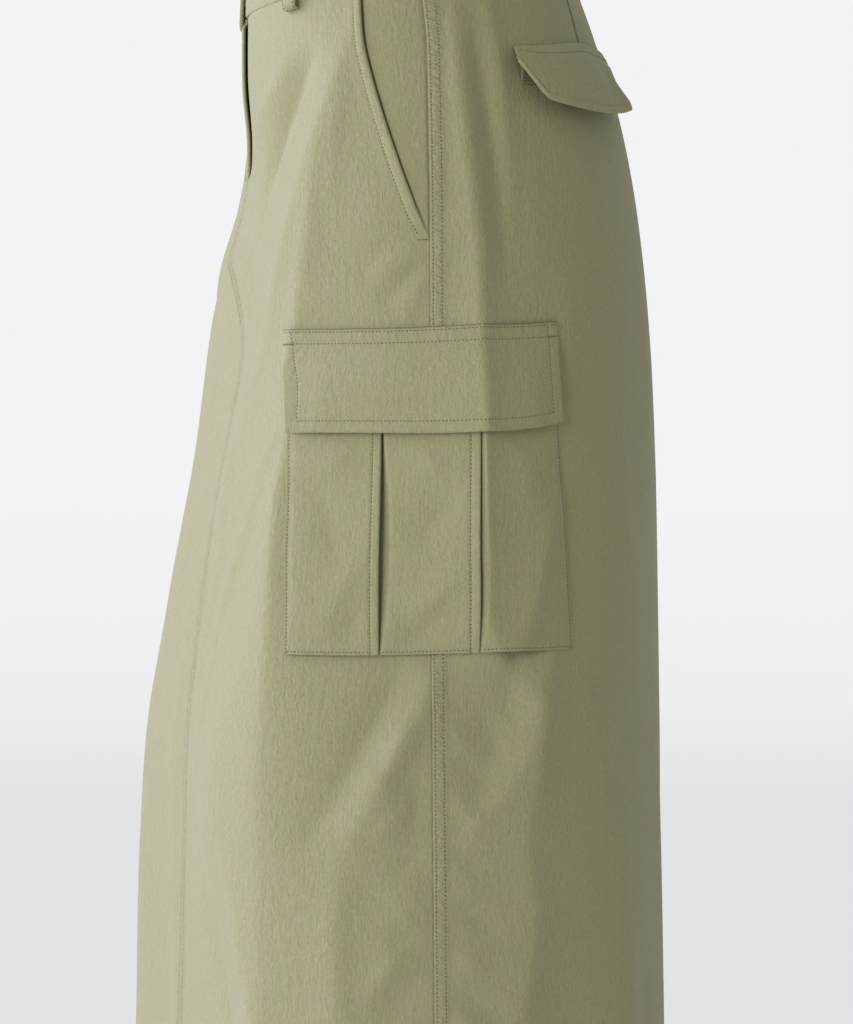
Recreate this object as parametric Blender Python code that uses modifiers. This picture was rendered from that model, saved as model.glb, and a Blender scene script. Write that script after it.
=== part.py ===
# A cargo utility skirt in its worn, hollow form: a shell of sewn panels, open at the waist and at the hem.
# Metres, +Z up. The wearer faces -Y and the wearer's left is +X.
# The origin is the centre of the waist, level with the middle of the waistband at the side seams.
#
# Every piece lies on one surface. A point of it is given by an angle round the body (0 at the left side seam,
# 90 degrees at the centre back) or by an arc from a side seam (positive towards the back), a level (the
# height before the waistline's dip) and a lift off the surface.
import math

import bmesh
import bpy
import numpy as np
from mathutils import Matrix

# Driving dimensions
wall = 0.0012  # panels and pocket bags
foldedWall = 0.0020  # flaps, which are two layers
bandWall = 0.0024
gap = 0.0003  # between pieces that touch
bandTop = 0.020
bandSeam = -0.020
hemLevel = -0.930
waistTilt = 0.13  # the waistline rises this much for each metre towards the back
waistDip = 0.004  # and hangs this much lower at the centre front
waistDepth = 0.102
levelHips = -0.20  # where the tilt and the dip have faded out
flyEnd = -0.125
flyLap = 0.0040  # how far the right front's fly runs past the centre front
flyLift = 0.0030
bandUnder = 0.034  # how far the band's left end runs on under its right end
bandOverRamp = (0.070, 0.032)  # the right end leaves the surface this far from its end, over this length
bandUnderRamp = (0.014, 0.026)  # the left end sinks from this distance past the centre front, over this length
seamFell = 0.0110  # width of the flat-felled side seams
seamRaise = 0.0005
pocketMouthTop = 0.038  # from the side seam to the slanted opening, at the waistband
pocketMouthEnd = -0.176
pocketMouthCurve = 0.26  # how much steeper the opening is near the waistband
cargoTop = -0.2278
cargoTopRise = 0.0024  # the back end of the flap's top is this much higher
cargoRise = 0.0065  # and the back end of its lower edge this much
cargoFlapDepth = 0.0602
cargoFlapSag = (0.002, 0.004)  # how far the flap's top and its lower edge hang down between their ends
sagLean = 1.6  # the lowest place lies behind the middle
cargoFlapEnds = ((-0.0970, 0.0735), (-0.0895, 0.0745))  # arcs of its two side edges, above and below
cargoBottom = -0.4135
cargoBagEnds = ((-0.0905, 0.0740), (-0.0890, 0.0845))
tuckArcs = (-0.0280, 0.0272)  # the folded edges of the bag's two tucks
tuckDepth = 0.0055
backFlapStart = 0.0520  # from the side seam
backFlapWidth = 0.1230
backFlapTop = -0.0697
backFlapDepth = 0.0340  # at its corners
backFlapBelly = 0.0062  # the middle of its lower edge hangs this much lower
backFlapEnd = 0.0100  # length of its short vertical ends
backFlapCut = 0.0140  # width of its cut-off corners
loopWidth = 0.0100
loopAngles = (-38.0, 35.0, 90.0, 145.0, 218.0)

# The outline: half widths and depths of the horizontal sections, from above the waist to the hem.
# lead is how far the right thigh carries the front forward, squareness the exponent of the section's curve.
outline = (
    # level, front,  back,   half,   lead,   squareness
    (0.030, 0.1000, 0.0960, 0.1335, 0.0000, 2.10),
    (-0.020, 0.1015, 0.0982, 0.1360, 0.0000, 2.10),
    (-0.060, 0.1012, 0.1112, 0.1480, 0.0000, 2.12),
    (-0.100, 0.0982, 0.1248, 0.1600, 0.0010, 2.16),
    (-0.140, 0.0980, 0.1340, 0.1695, 0.0090, 2.20),
    (-0.180, 0.0995, 0.1398, 0.1760, 0.0175, 2.22),
    (-0.230, 0.1030, 0.1442, 0.1815, 0.0215, 2.22),
    (-0.300, 0.1125, 0.1474, 0.1860, 0.0215, 2.20),
    (-0.380, 0.1240, 0.1489, 0.1910, 0.0262, 2.18),
    (-0.450, 0.1325, 0.1498, 0.1965, 0.0312, 2.16),
    (-0.530, 0.1350, 0.1507, 0.2040, 0.0345, 2.14),
    (-0.640, 0.1380, 0.1522, 0.2150, 0.0345, 2.12),
    (-0.780, 0.1440, 0.1560, 0.2290, 0.0320, 2.10),
    (-0.960, 0.1520, 0.1600, 0.2460, 0.0270, 2.08),
)
outlineColumns = ("level", "front", "back", "half", "lead", "squareness")
leadAngle = math.radians(-115)
leadSpread = math.radians(31)

# The largest folds of the skirt's lower part. Each grows from nothing at its start level to its full height
# at its full level, and its angle moves from one value to the other on the way.
flutes = (
    # start,  full,   angle there, angle at the hem, height,  half spread in degrees
    (-0.400, -0.700, 17.0, 22.0, -0.0060, 11.0),
    (-0.380, -0.760, 44.0, 42.0, 0.0065, 15.0),
    (-0.450, -0.800, 72.0, 66.0, -0.0070, 13.0),
    (-0.480, -0.860, 98.0, 94.0, 0.0060, 15.0),
    (-0.420, -0.800, 122.0, 124.0, -0.0075, 14.0),
    (-0.400, -0.760, 150.0, 152.0, 0.0065, 15.0),
    (-0.430, -0.720, 178.0, 181.0, -0.0055, 12.0),
    (-0.440, -0.800, 207.0, 209.0, 0.0070, 15.0),
    (-0.500, -0.850, 272.0, 268.0, -0.0080, 12.0),
    (-0.460, -0.820, 312.0, 306.0, -0.0050, 11.0),
    (-0.420, -0.740, 340.0, 338.0, 0.0050, 12.0),
)

# The centre-front seam: it leaves the fly's end, bends to the wearer's left and runs down to the hem.
frontSeam = (
    # level, distance to the wearer's left of the centre
    (0.030, 0.0000),
    (-0.130, 0.0000),
    (-0.160, -0.0040),
    (-0.182, 0.0050),
    (-0.206, 0.0270),
    (-0.232, 0.0500),
    (-0.252, 0.0510),
    (-0.272, 0.0430),
    (-0.300, 0.0370),
    (-0.400, 0.0360),
    (-0.500, 0.0440),
    (-0.640, 0.0420),
    (-0.960, 0.0400),
)

panelLevels = (
    bandSeam, -0.040, -0.063, -0.088, -0.112, -0.122, -0.130, -0.145, -0.162, -0.178, -0.204, -0.229,
    -0.255, -0.288, -0.320, -0.352, -0.384, -0.4145, -0.445, -0.490, -0.550, -0.615, -0.690, -0.770,
    -0.850, hemLevel,
)  # fmt: skip
# Columns of points near a side seam, and their shares of the way from the last of them to the other edge
sideSteps = (0.0, seamFell, seamFell + 0.0015, 0.030, 0.050, 0.070, 0.090)
frontShares = (0.13, 0.26, 0.39, 0.52, 0.65, 0.77, 0.89, 1.0)
seamOut = 0.004  # the lower front's usual distance outside its outline

cloth = (0.50, 0.50, 0.34)
clothDark = (0.40, 0.40, 0.27)
zipGrey = (0.03, 0.03, 0.028)
metalGrey = (0.35, 0.34, 0.32)


def smoothRow(table, column, level):
    """A column of a table at the given levels, as a cubic through its rows."""
    rows = np.array(table)[::-1]
    x = rows[:, 0]
    y = rows[:, column]
    slope = np.gradient(y, x)
    at = np.clip(level, x[0], x[-1])
    i = np.clip(np.searchsorted(x, at) - 1, 0, len(x) - 2)
    step = x[i + 1] - x[i]
    t = (at - x[i]) / step
    ends = y[i] * (1 + 2 * t) * (1 - t) ** 2 + y[i + 1] * t * t * (3 - 2 * t)
    return ends + step * t * (1 - t) * (slope[i] * (1 - t) - slope[i + 1] * t)


def outlineAt(name, level):
    return smoothRow(outline, outlineColumns.index(name), level)


def ease(t):
    """0 to 1 as t goes from 0 to 1, level at both ends."""
    t = np.clip(t, 0, 1)
    return t * t * (3 - 2 * t)


def bump(angle, centre, spread):
    """A bell curve round the body, 1 at its centre."""
    away = (angle - centre + math.pi) % (2 * math.pi) - math.pi
    return np.exp(-((away / spread) ** 2))


def fluting(angle, level):
    """How far the folds move the cloth in or out."""
    total = np.zeros(np.broadcast(angle, level).shape)
    for start, full, upper, lower, height, spread in flutes:
        along = ease((start - level) / (start - full))
        centre = np.radians(upper + (lower - upper) * np.clip((start - level) / (start - hemLevel), 0, 1))
        total = total + height * along * bump(angle, centre, math.radians(spread))
    return total


def section(angle, level):
    """The x and y of a section: a squared-off oval, with a depth of its own in front and at the back."""
    lead = outlineAt("lead", level) * bump(angle, leadAngle, leadSpread)
    depth = np.where(np.sin(angle) < 0, outlineAt("front", level) + lead, outlineAt("back", level))
    power = outlineAt("squareness", level)
    across = np.abs(np.cos(angle)) / outlineAt("half", level)
    along = np.abs(np.sin(angle)) / depth
    radius = (across**power + along**power) ** (-1 / power) + fluting(angle, level)
    return radius * np.cos(angle), radius * np.sin(angle)


def surface(angle, level):
    """Points of the body surface. The waistline's tilt and dip fade out over the hips."""
    angle, level = np.broadcast_arrays(np.asarray(angle, float), np.asarray(level, float))
    x, y = section(angle, level)
    dip = waistTilt * y - waistDip * np.clip(-y / waistDepth, 0, 1.2) ** 3
    return np.stack([x, y, level + dip * ease((level - levelHips) / (bandSeam - levelHips))], -1)


def lifted(angle, level, lift):
    """Points off the body surface, along its normal."""
    angle, level, lift = np.broadcast_arrays(angle, level, lift)
    step = 1e-4
    along = surface(angle + step, level) - surface(angle - step, level)
    up = surface(angle, level + step) - surface(angle, level - step)
    normal = np.cross(along, up)
    normal /= np.linalg.norm(normal, axis=-1, keepdims=True)
    return surface(angle, level) + normal * lift[..., None]


class ArcMap:
    """Turns arcs from a side seam into angles and back, for the left (+1) or the right side (-1)."""

    def __init__(self, side):
        self.side = side
        self.turn = np.linspace(-2.4, 2.4, 481)  # from the side seam, positive to the back
        self.level = np.linspace(-0.960, 0.030, 100)
        self.arc = np.linspace(-0.50, 0.50, 501)
        points = surface(self.angle(self.turn)[None, :], self.level[:, None])[..., :2]
        steps = np.linalg.norm(np.diff(points, axis=1), axis=2)
        self.lengths = np.concatenate([np.zeros((len(self.level), 1)), np.cumsum(steps, axis=1)], axis=1)
        self.lengths -= self.lengths[:, 240:241]
        self.turns = np.array([np.interp(self.arc, row, self.turn) for row in self.lengths])

    def angle(self, turn):
        return turn if self.side > 0 else math.pi - turn

    def between(self, table, axis, value, level):
        value, level = np.broadcast_arrays(np.asarray(value, float), np.asarray(level, float))
        row = np.clip((level - self.level[0]) / (self.level[1] - self.level[0]), 0, len(self.level) - 1.001)
        column = np.clip((value - axis[0]) / (axis[1] - axis[0]), 0, len(axis) - 1.001)
        i = row.astype(int)
        j = column.astype(int)
        row = row - i
        column = column - j
        lower = table[i, j] * (1 - column) + table[i, j + 1] * column
        upper = table[i + 1, j] * (1 - column) + table[i + 1, j + 1] * column
        return lower * (1 - row) + upper * row

    def angleAt(self, arc, level):
        return self.angle(self.between(self.turns, self.arc, arc, level))

    def arcAt(self, angle, level):
        turn = angle if self.side > 0 else math.pi - angle
        turn = (turn + math.pi) % (2 * math.pi) - math.pi
        return self.between(self.lengths, self.turn, turn, level)


arcMaps = {1: ArcMap(1), -1: ArcMap(-1)}
sideNames = {1: "left", -1: "right"}


def onSide(side, arc, level, lift):
    """Points at arcs from a side seam."""
    return lifted(arcMaps[side].angleAt(arc, level), level, lift)


def clearScene():
    for thing in list(bpy.data.objects):
        bpy.data.objects.remove(thing, do_unlink=True)


def material(name, colour, roughness, metallic=0.0):
    made = bpy.data.materials.get(name) or bpy.data.materials.new(name)
    made.use_nodes = True
    shader = made.node_tree.nodes["Principled BSDF"]
    shader.inputs["Base Color"].default_value = (*colour, 1)
    shader.inputs["Roughness"].default_value = roughness
    shader.inputs["Metallic"].default_value = metallic
    return made


def sheet(name, points, thickness, colour=cloth, ring=False):
    """A piece of cloth: a grid of points (rows, columns, xyz), thickened evenly to both sides."""
    rows, columns = points.shape[:2]
    index = np.arange(rows * columns).reshape(rows, columns)
    if ring:
        index = np.concatenate([index, index[:, :1]], axis=1)
    corners = [index[:-1, :-1], index[:-1, 1:], index[1:, 1:], index[1:, :-1]]
    faces = np.stack(corners, -1).reshape(-1, 4)
    mesh = bpy.data.meshes.new(name)
    mesh.from_pydata(points.reshape(-1, 3).tolist(), [], faces.tolist())
    mesh.update()
    mesh.shade_smooth()
    thing = bpy.data.objects.new(name, mesh)
    skirt.objects.link(thing)
    solidify = thing.modifiers.new("Thickness", "SOLIDIFY")
    solidify.thickness = thickness
    solidify.offset = 0
    solidify.use_even_offset = True
    mesh.materials.append(material(name, colour, 0.8))
    return thing


def seamAngle(level):
    """The centre-front seam's angle at a level."""
    away = smoothRow(frontSeam, 1, level)
    return -math.pi / 2 + away / (outlineAt("front", level) + seamOut)


def mouthArc(level):
    """How far the slanted opening lies in front of the side seam: straight below, steeper at the waist."""
    share = np.clip((level - pocketMouthEnd) / (bandSeam - pocketMouthEnd), 0, 1)
    return pocketMouthTop * ((1 + pocketMouthCurve) * share - pocketMouthCurve * share**3)


def frontPanel(side):
    """From the side seam or the pocket opening to the fly's edge and the centre-front seam."""
    level = np.array(panelLevels)[:, None]
    level[0] -= gap / 2
    inFly = level > flyEnd
    centre = arcMaps[side].arcAt(-math.pi / 2, level)
    flyEdge = centre + gap if side > 0 else centre - flyLap
    end = np.where(inFly, flyEdge, arcMaps[side].arcAt(seamAngle(level), level) + gap / 2)
    mouth = -mouthArc(level) - gap / 2
    close = mouth - np.array(sideSteps)[None, :] * (mouth - end) / (gap / 2 - end)
    arc = np.concatenate([close, close[:, -1:] + (end - close[:, -1:]) * np.array(frontShares)[None, :]], axis=1)
    lift = np.zeros_like(arc)
    if side < 0:  # the fly's edge stands off over the left front
        lift[:, -2:] = np.where(level > flyEnd - 0.007, flyLift, 0) * np.array([0.6, 1.0])
    return sheet(f"front_{sideNames[side]}", onSide(side, arc, level, lift), wall)


def backPanel(side):
    """From the side seam, whose felled edge is raised, to the centre back."""
    level = np.array(panelLevels)[:, None]
    level[0] -= gap / 2
    end = arcMaps[side].arcAt(math.pi / 2, level) - gap / 2
    close = gap / 2 + np.array(sideSteps)[None, :] + 0 * end
    shares = np.linspace(0, 1, 9)[None, 1:]
    arc = np.concatenate([close, close[:, -1:] + (end - close[:, -1:]) * shares], axis=1)
    lift = np.zeros_like(arc)
    lift[:, :2] = seamRaise
    return sheet(f"back_{sideNames[side]}", onSide(side, arc, level, lift), wall)


def sideFacing(side):
    """Fills the slanted pocket: level with the panels at the side seam, under the front panel past the opening."""
    level = np.linspace(bandSeam - gap / 2, pocketMouthEnd + 0.006, 9)[:, None]
    mouth = mouthArc(level)
    arc = np.concatenate([gap / 2 + 0 * mouth, 0.4 * mouth, 0.8 * mouth, mouth + 0.004, mouth + 0.025], axis=1)
    under = -(wall + 2 * gap)
    seamLift = under * ease(1 - (mouth - 0.004) / 0.010)
    lift = under + (seamLift - under) * np.array([1, 0.7, 0.2, 0, 0])[None, :]
    return sheet(f"side_facing_{sideNames[side]}", onSide(side, -arc, level, lift), wall)


def frontStrip(name, left, right, level, lift, thickness, colour=cloth):
    """A strip behind the fly between two distances to the wearer's left of the centre."""
    level = np.array(level)[:, None]
    away = np.linspace(left, right, 4)[None, :]
    arc = arcMaps[-1].arcAt(-math.pi / 2, level) - away
    return sheet(name, onSide(-1, arc, level, lift), thickness, colour)


def waistband():
    """One band round the waist. Its right end lies over its left end at the centre front."""
    radius = outlineAt("front", 0.0)
    under = -math.pi / 2 - bandUnder / radius
    last = 3 * math.pi / 2 + flyLap / radius
    angle = np.concatenate([
        np.linspace(under, under + 0.50, 8)[:-1],
        np.linspace(under + 0.50, last - 0.85, 38)[:-1],
        np.linspace(last - 0.85, last, 11),
    ])[None, :]  # fmt: skip
    level = np.linspace(bandSeam + gap / 2, bandTop, 3)[:, None]
    fromLeft = (angle + math.pi / 2) * radius
    fromRight = (3 * math.pi / 2 - angle) * radius
    over = ease((bandOverRamp[0] - fromRight) / bandOverRamp[1])
    sunk = ease((bandUnderRamp[0] - fromLeft) / bandUnderRamp[1])
    lift = 0.8 * bandWall * (over - sunk)
    return sheet("waistband", lifted(angle, level, lift), bandWall)


def beltLoop(number, angle):
    """A strip that bridges the band, sewn down at the band's top edge and just below its lower seam."""
    profile = (
        # level, lift
        (0.0195, 0.0023),
        (0.0180, 0.0036),
        (0.0120, 0.0046),
        (-0.0040, 0.0048),
        (-0.0180, 0.0050),
        (-0.0235, 0.0046),
        (-0.0255, 0.0030),
        (-0.0266, 0.0018),
    )
    level, lift = np.array(profile).T[:, :, None]
    centre = math.radians(angle)
    radius = np.linalg.norm(surface(centre, 0.0)[:2])
    across = centre + np.array([-0.5, 0.0, 0.5])[None, :] * loopWidth / radius
    return sheet(f"belt_loop_{number}", lifted(across, level, lift), wall)


def tuckedProfile():
    """Arc and lift of the bag's columns, front to back over its two z-folded tucks, halfway down the bag."""
    low, middle, high = 0.0024, 0.0041, 0.0058
    turn = 0.0007
    front, back = np.mean(cargoBagEnds, axis=0)
    points = [(front, low), (front + 0.006, low + 0.0002), (front + 0.025, 0.0034)]
    for edge in tuckArcs:
        root = edge - tuckDepth
        points += [(edge - 0.014, 0.0052), (edge - turn, high), (edge, (high + middle) / 2)]
        points += [(edge - turn, middle), (root, middle), (root - turn, (low + middle) / 2)]
        points += [(root, low), (edge, low), (edge + 0.020, 0.0034)]
    points += [(back - 0.020, 0.0034), (back - 0.006, low + 0.0002), (back, low)]
    return np.array(points).T


def between(ends, fall, share):
    """Arcs of a patch whose front and back edge lean from their upper to their lower place."""
    upper, lower = ends
    front = upper[0] + (lower[0] - upper[0]) * fall
    back = upper[1] + (lower[1] - upper[1]) * fall
    return front + (back - front) * share


def cargoBag(side):
    """The patch pocket over the side seam, with two tucks that lie over towards the back."""
    along, lift = tuckedProfile()
    front, back = along[0], along[-1]
    fall = np.array([0, 0.05, 0.24, 0.43, 0.62, 0.81, 0.97, 1.0])[:, None]
    share = ((along - front) / (back - front))[None, :]
    leaning = np.concatenate([[1], np.zeros(len(along) - 2), [1]])  # the tucks hang straight
    arc = along + (between(cargoBagEnds, fall, share) - along) * leaning
    top = cargoTop - 0.018
    level = top + (cargoBottom - top) * fall + cargoRise * (1 - 0.5 * fall) * share
    bulge = 0.0030 * np.sin(math.pi * fall) * np.sin(math.pi * share)
    return sheet(f"cargo_pocket_{sideNames[side]}", onSide(side, arc, level, lift + bulge), wall)


def cargoFlap(side):
    """The bag's flap. It stands off over the tucks, and least at its side edges."""
    shape = (
        # distance below the top edge, lift, lift at the side edges
        (0.0000, 0.0030, 0.0030),
        (0.0050, 0.0040, 0.0036),
        (0.0150, 0.0086, 0.0046),
        (0.0300, 0.0098, 0.0052),
        (0.0450, 0.0106, 0.0056),
        (cargoFlapDepth, 0.0112, 0.0060),
    )
    below, lift, edgeLift = np.array(shape).T[:, :, None]
    share = np.array([0, 0.025, 0.10, 0.22, 0.34, 0.46, 0.58, 0.70, 0.80, 0.90, 0.975, 1.0])[None, :]
    fall = below / cargoFlapDepth
    lift = edgeLift + (lift - edgeLift) * ease(np.minimum(share, 1 - share) / 0.12)
    upper, lower = cargoFlapSag
    sag = (upper + (lower - upper) * fall) * np.sin(math.pi * share**sagLean)
    rise = cargoTopRise + (cargoRise - cargoTopRise) * fall
    level = cargoTop - below + rise * share - sag
    arc = between(cargoFlapEnds, fall, share)
    return sheet(f"cargo_flap_{sideNames[side]}", onSide(side, arc, level, lift), foldedWall)


def backWelt(side):
    """The welt of the back pocket, a strip under its flap."""
    along = backFlapStart + 0.004 + np.linspace(0, backFlapWidth - 0.008, 8)[None, :]
    level = backFlapTop - np.array([0.005, 0.012, 0.019])[:, None]
    return sheet(f"back_welt_{sideNames[side]}", onSide(side, along, level, 0.0020), wall)


def backFlap(side):
    """A flap with cut-off lower corners that stands well off the hip."""
    across = np.array([0, 0.25, 0.5, 0.75, 1.0])
    shares = np.concatenate([
        across * backFlapCut,
        backFlapCut + (backFlapWidth - 2 * backFlapCut) * across[1:-1],
        backFlapWidth - backFlapCut * across[::-1],
    ])[None, :]  # fmt: skip
    inward = np.minimum(shares, backFlapWidth - shares)
    bellied = np.clip((inward - backFlapCut) / (backFlapWidth - 2 * backFlapCut), 0, 0.5)
    belly = backFlapBelly * np.sin(math.pi * bellied)
    depth = backFlapEnd + (backFlapDepth - backFlapEnd) * np.minimum(inward / backFlapCut, 1) + belly
    below = depth * np.array([0, 0.15, 0.4, 0.7, 1.0])[:, None]
    lift = 0.0024 + 0.0110 * (below / backFlapDepth) ** 0.7
    arc = backFlapStart + shares
    return sheet(f"back_flap_{sideNames[side]}", onSide(side, arc, backFlapTop - below, lift), foldedWall)


def hardPlate(name, size, away, level, lift, colour):
    """A small metal plate behind the fly, its flat faces along the surface."""
    angle = -math.pi / 2 + away / outlineAt("front", level)
    centre = lifted(angle, level, lift)
    outward = lifted(angle, level, lift + 0.01) - centre
    form = bmesh.new()
    bmesh.ops.create_cube(form, size=1, matrix=Matrix.Diagonal((*size, 1)))
    mesh = bpy.data.meshes.new(name)
    form.to_mesh(mesh)
    form.free()
    mesh.materials.append(material(name, colour, 0.35, 1.0))
    thing = bpy.data.objects.new(name, mesh)
    thing.location = tuple(centre)
    thing.rotation_euler[2] = math.atan2(outward[1], outward[0]) + math.pi / 2
    skirt.objects.link(thing)
    return thing


clearScene()
skirt = bpy.data.collections.new("cargo_utility_skirt")
bpy.context.scene.collection.children.link(skirt)
for side in (1, -1):
    frontPanel(side)
    backPanel(side)
    sideFacing(side)
    cargoBag(side)
    cargoFlap(side)
    backWelt(side)
    backFlap(side)
waistband()
flyLevels = np.linspace(bandSeam - gap / 2, flyEnd + 0.004, 6)
frontStrip("zip_tape", -0.014, 0.012, flyLevels, -0.0017, 0.0010, zipGrey)
frontStrip("fly_shield", -0.034, 0.014, flyLevels, -0.0032, wall, clothDark)
hardPlate("zip_slider", (0.0060, 0.0013, 0.0090), -0.0050, -0.0300, -0.00035, metalGrey)
hardPlate("waist_hook", (0.0110, 0.0007, 0.0140), -0.0170, 0.0, 0.0, metalGrey)
for number, angle in enumerate(loopAngles, 1):
    beltLoop(number, angle)
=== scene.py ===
import math

import bpy
import numpy as np
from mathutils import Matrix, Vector


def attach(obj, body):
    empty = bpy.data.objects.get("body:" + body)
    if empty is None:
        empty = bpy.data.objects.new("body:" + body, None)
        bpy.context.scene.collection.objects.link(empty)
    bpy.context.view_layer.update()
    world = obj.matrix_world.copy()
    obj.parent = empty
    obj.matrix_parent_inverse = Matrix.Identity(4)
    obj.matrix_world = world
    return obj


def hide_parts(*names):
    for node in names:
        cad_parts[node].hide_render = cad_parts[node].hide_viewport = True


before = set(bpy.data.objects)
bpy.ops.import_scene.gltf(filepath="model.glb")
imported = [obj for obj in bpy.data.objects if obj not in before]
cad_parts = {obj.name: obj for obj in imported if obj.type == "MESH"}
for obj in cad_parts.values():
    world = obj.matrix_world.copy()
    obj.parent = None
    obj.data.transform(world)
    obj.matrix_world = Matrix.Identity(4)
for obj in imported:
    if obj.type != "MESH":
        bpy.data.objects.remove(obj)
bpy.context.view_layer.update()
print("skirt: frame loaded")

viewing = {
    "azimuth": 86.0, "distance": 2.5, "aside": 0.01006, "height": -0.332, "lens": 144.14, "sensor": 36.0,
}


def makeCamera():
    # level, turned about the vertical, at its distance from the axis and shifted a little sideways
    turn = math.radians(viewing["azimuth"])
    ahead = Vector((-math.sin(turn), math.cos(turn), 0))
    aside = Vector((math.cos(turn), math.sin(turn), 0))
    data = bpy.data.cameras.new("sideCamera")
    data.lens = viewing["lens"]
    data.sensor_width = viewing["sensor"]
    data.clip_end = 100
    camera = bpy.data.objects.new("sideCamera", data)
    flat = aside * viewing["aside"] - ahead * viewing["distance"]
    camera.location = flat + Vector((0, 0, viewing["height"]))
    camera.rotation_euler = (math.pi / 2, 0, turn)
    bpy.context.scene.collection.objects.link(camera)
    bpy.context.scene.camera = camera


makeCamera()

# The body form, the same one as in the part's source: levels go from above the waist down past the hem.
form = {
    "outline": (  # level, front, back, half, lead, squareness
        (0.030, 0.1000, 0.0960, 0.1335, 0.0000, 2.10),
        (-0.020, 0.1015, 0.0982, 0.1360, 0.0000, 2.10),
        (-0.060, 0.1012, 0.1112, 0.1480, 0.0000, 2.12),
        (-0.100, 0.0982, 0.1248, 0.1600, 0.0010, 2.16),
        (-0.140, 0.0980, 0.1340, 0.1695, 0.0090, 2.20),
        (-0.180, 0.0995, 0.1398, 0.1760, 0.0175, 2.22),
        (-0.230, 0.1030, 0.1442, 0.1815, 0.0215, 2.22),
        (-0.300, 0.1125, 0.1474, 0.1860, 0.0215, 2.20),
        (-0.380, 0.1240, 0.1489, 0.1910, 0.0262, 2.18),
        (-0.450, 0.1325, 0.1498, 0.1965, 0.0312, 2.16),
        (-0.530, 0.1350, 0.1507, 0.2040, 0.0345, 2.14),
        (-0.640, 0.1380, 0.1522, 0.2150, 0.0345, 2.12),
        (-0.780, 0.1440, 0.1560, 0.2290, 0.0320, 2.10),
        (-0.960, 0.1520, 0.1600, 0.2460, 0.0270, 2.08),
    ),
    "leadAngle": math.radians(-115),
    "leadSpread": math.radians(31),
    "tilt": 0.13,  # how much the waistline rises towards the back
    "frontDip": 0.004,
    "leftDip": 0.85,  # share by which the left front dips less
    "dipDepth": 0.102,
    "levelHips": -0.20,  # where the tilt and the dip have faded out
    "flutes": (  # start, full, angle there, angle at the hem, height, half spread in degrees
        (-0.400, -0.700, 17.0, 22.0, -0.0060, 11.0),
        (-0.380, -0.760, 44.0, 42.0, 0.0065, 15.0),
        (-0.450, -0.800, 72.0, 66.0, -0.0070, 13.0),
        (-0.480, -0.860, 98.0, 94.0, 0.0060, 15.0),
        (-0.420, -0.800, 122.0, 124.0, -0.0075, 14.0),
        (-0.400, -0.760, 150.0, 152.0, 0.0065, 15.0),
        (-0.430, -0.720, 178.0, 181.0, -0.0055, 12.0),
        (-0.440, -0.800, 207.0, 209.0, 0.0070, 15.0),
        (-0.500, -0.850, 272.0, 268.0, -0.0080, 12.0),
        (-0.460, -0.820, 312.0, 306.0, -0.0050, 11.0),
        (-0.420, -0.740, 340.0, 338.0, 0.0050, 12.0),
    ),
    "bandTop": 0.020,
    "bandSeam": -0.020,
    "hem": -0.930,
}
columnOf = {"front": 1, "back": 2, "half": 3, "lead": 4, "squareness": 5}


def smoothRow(table, column, level):
    # a column of a table at any level: the cubic through its rows, with slopes from their neighbours
    rows = np.array(table)[::-1]
    x = rows[:, 0]
    y = rows[:, column]
    slope = np.gradient(y, x)
    at = np.clip(level, x[0], x[-1])
    i = np.clip(np.searchsorted(x, at) - 1, 0, len(x) - 2)
    step = x[i + 1] - x[i]
    t = (at - x[i]) / step
    ends = y[i] * (1 + 2 * t) * (1 - t) ** 2 + y[i + 1] * t * t * (3 - 2 * t)
    return ends + step * t * (1 - t) * (slope[i] * (1 - t) - slope[i + 1] * t)


def outlineAt(name, level):
    return smoothRow(form["outline"], columnOf[name], level)


def ease(t):
    # 0 to 1 with level ends: t t (3 - 2 t)
    t = np.clip(t, 0, 1)
    return t * t * (3 - 2 * t)


def ramp(value, start, length):
    # 0 up to start, 1 past start + length
    return ease((value - start) / length)


def bell(away, spread):
    # the bell curve exp(-(away / spread) squared)
    return np.exp(-((away / spread) ** 2))


def shares(count):
    # even steps up to 1, as a row
    return np.linspace(0, 1, count)[None, 1:]


def roundAway(angle, centre):
    # the way from one angle to another, from minus to plus half a turn
    return (angle - centre + math.pi) % (2 * math.pi) - math.pi


def section(angle, level):
    # the squared-off oval ((cos / half)^n + (sin / depth)^n)^(-1 / n), and the lower part's folds added to it
    lead = outlineAt("lead", level) * bell(roundAway(angle, form["leadAngle"]), form["leadSpread"])
    depth = np.where(np.sin(angle) < 0, outlineAt("front", level) + lead, outlineAt("back", level))
    power = outlineAt("squareness", level)
    across = np.abs(np.cos(angle)) / outlineAt("half", level)
    along = np.abs(np.sin(angle)) / depth
    radius = (across**power + along**power) ** (-1 / power)
    for start, full, upper, lower, height, spread in form["flutes"]:
        grown = ease((start - level) / (start - full))
        centre = np.radians(upper + (lower - upper) * np.clip((start - level) / (start - form["hem"]), 0, 1))
        radius = radius + height * grown * bell(roundAway(angle, centre), math.radians(spread))
    return radius * np.cos(angle), radius * np.sin(angle)


def surface(angle, level):
    # the section at each level, with the waistline's tilt and dip, which fade out over the hips
    angle, level = np.broadcast_arrays(np.asarray(angle, float), np.asarray(level, float))
    x, y = section(angle, level)
    lower = form["frontDip"] * (1 - form["leftDip"] * ramp(x, 0.002, 0.014))
    dip = form["tilt"] * y - lower * np.clip(-y / form["dipDepth"], 0, 1.2) ** 3
    fade = ease((level - form["levelHips"]) / (form["bandSeam"] - form["levelHips"]))
    return np.stack([x, y, level + dip * fade], -1)


def outward(angle, level):
    # the surface's unit normal, from differences in both directions
    step = 1e-4
    along = surface(angle + step, level) - surface(angle - step, level)
    up = surface(angle, level + step) - surface(angle, level - step)
    normal = np.cross(along, up)
    return normal / np.linalg.norm(normal, axis=-1, keepdims=True)


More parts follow.
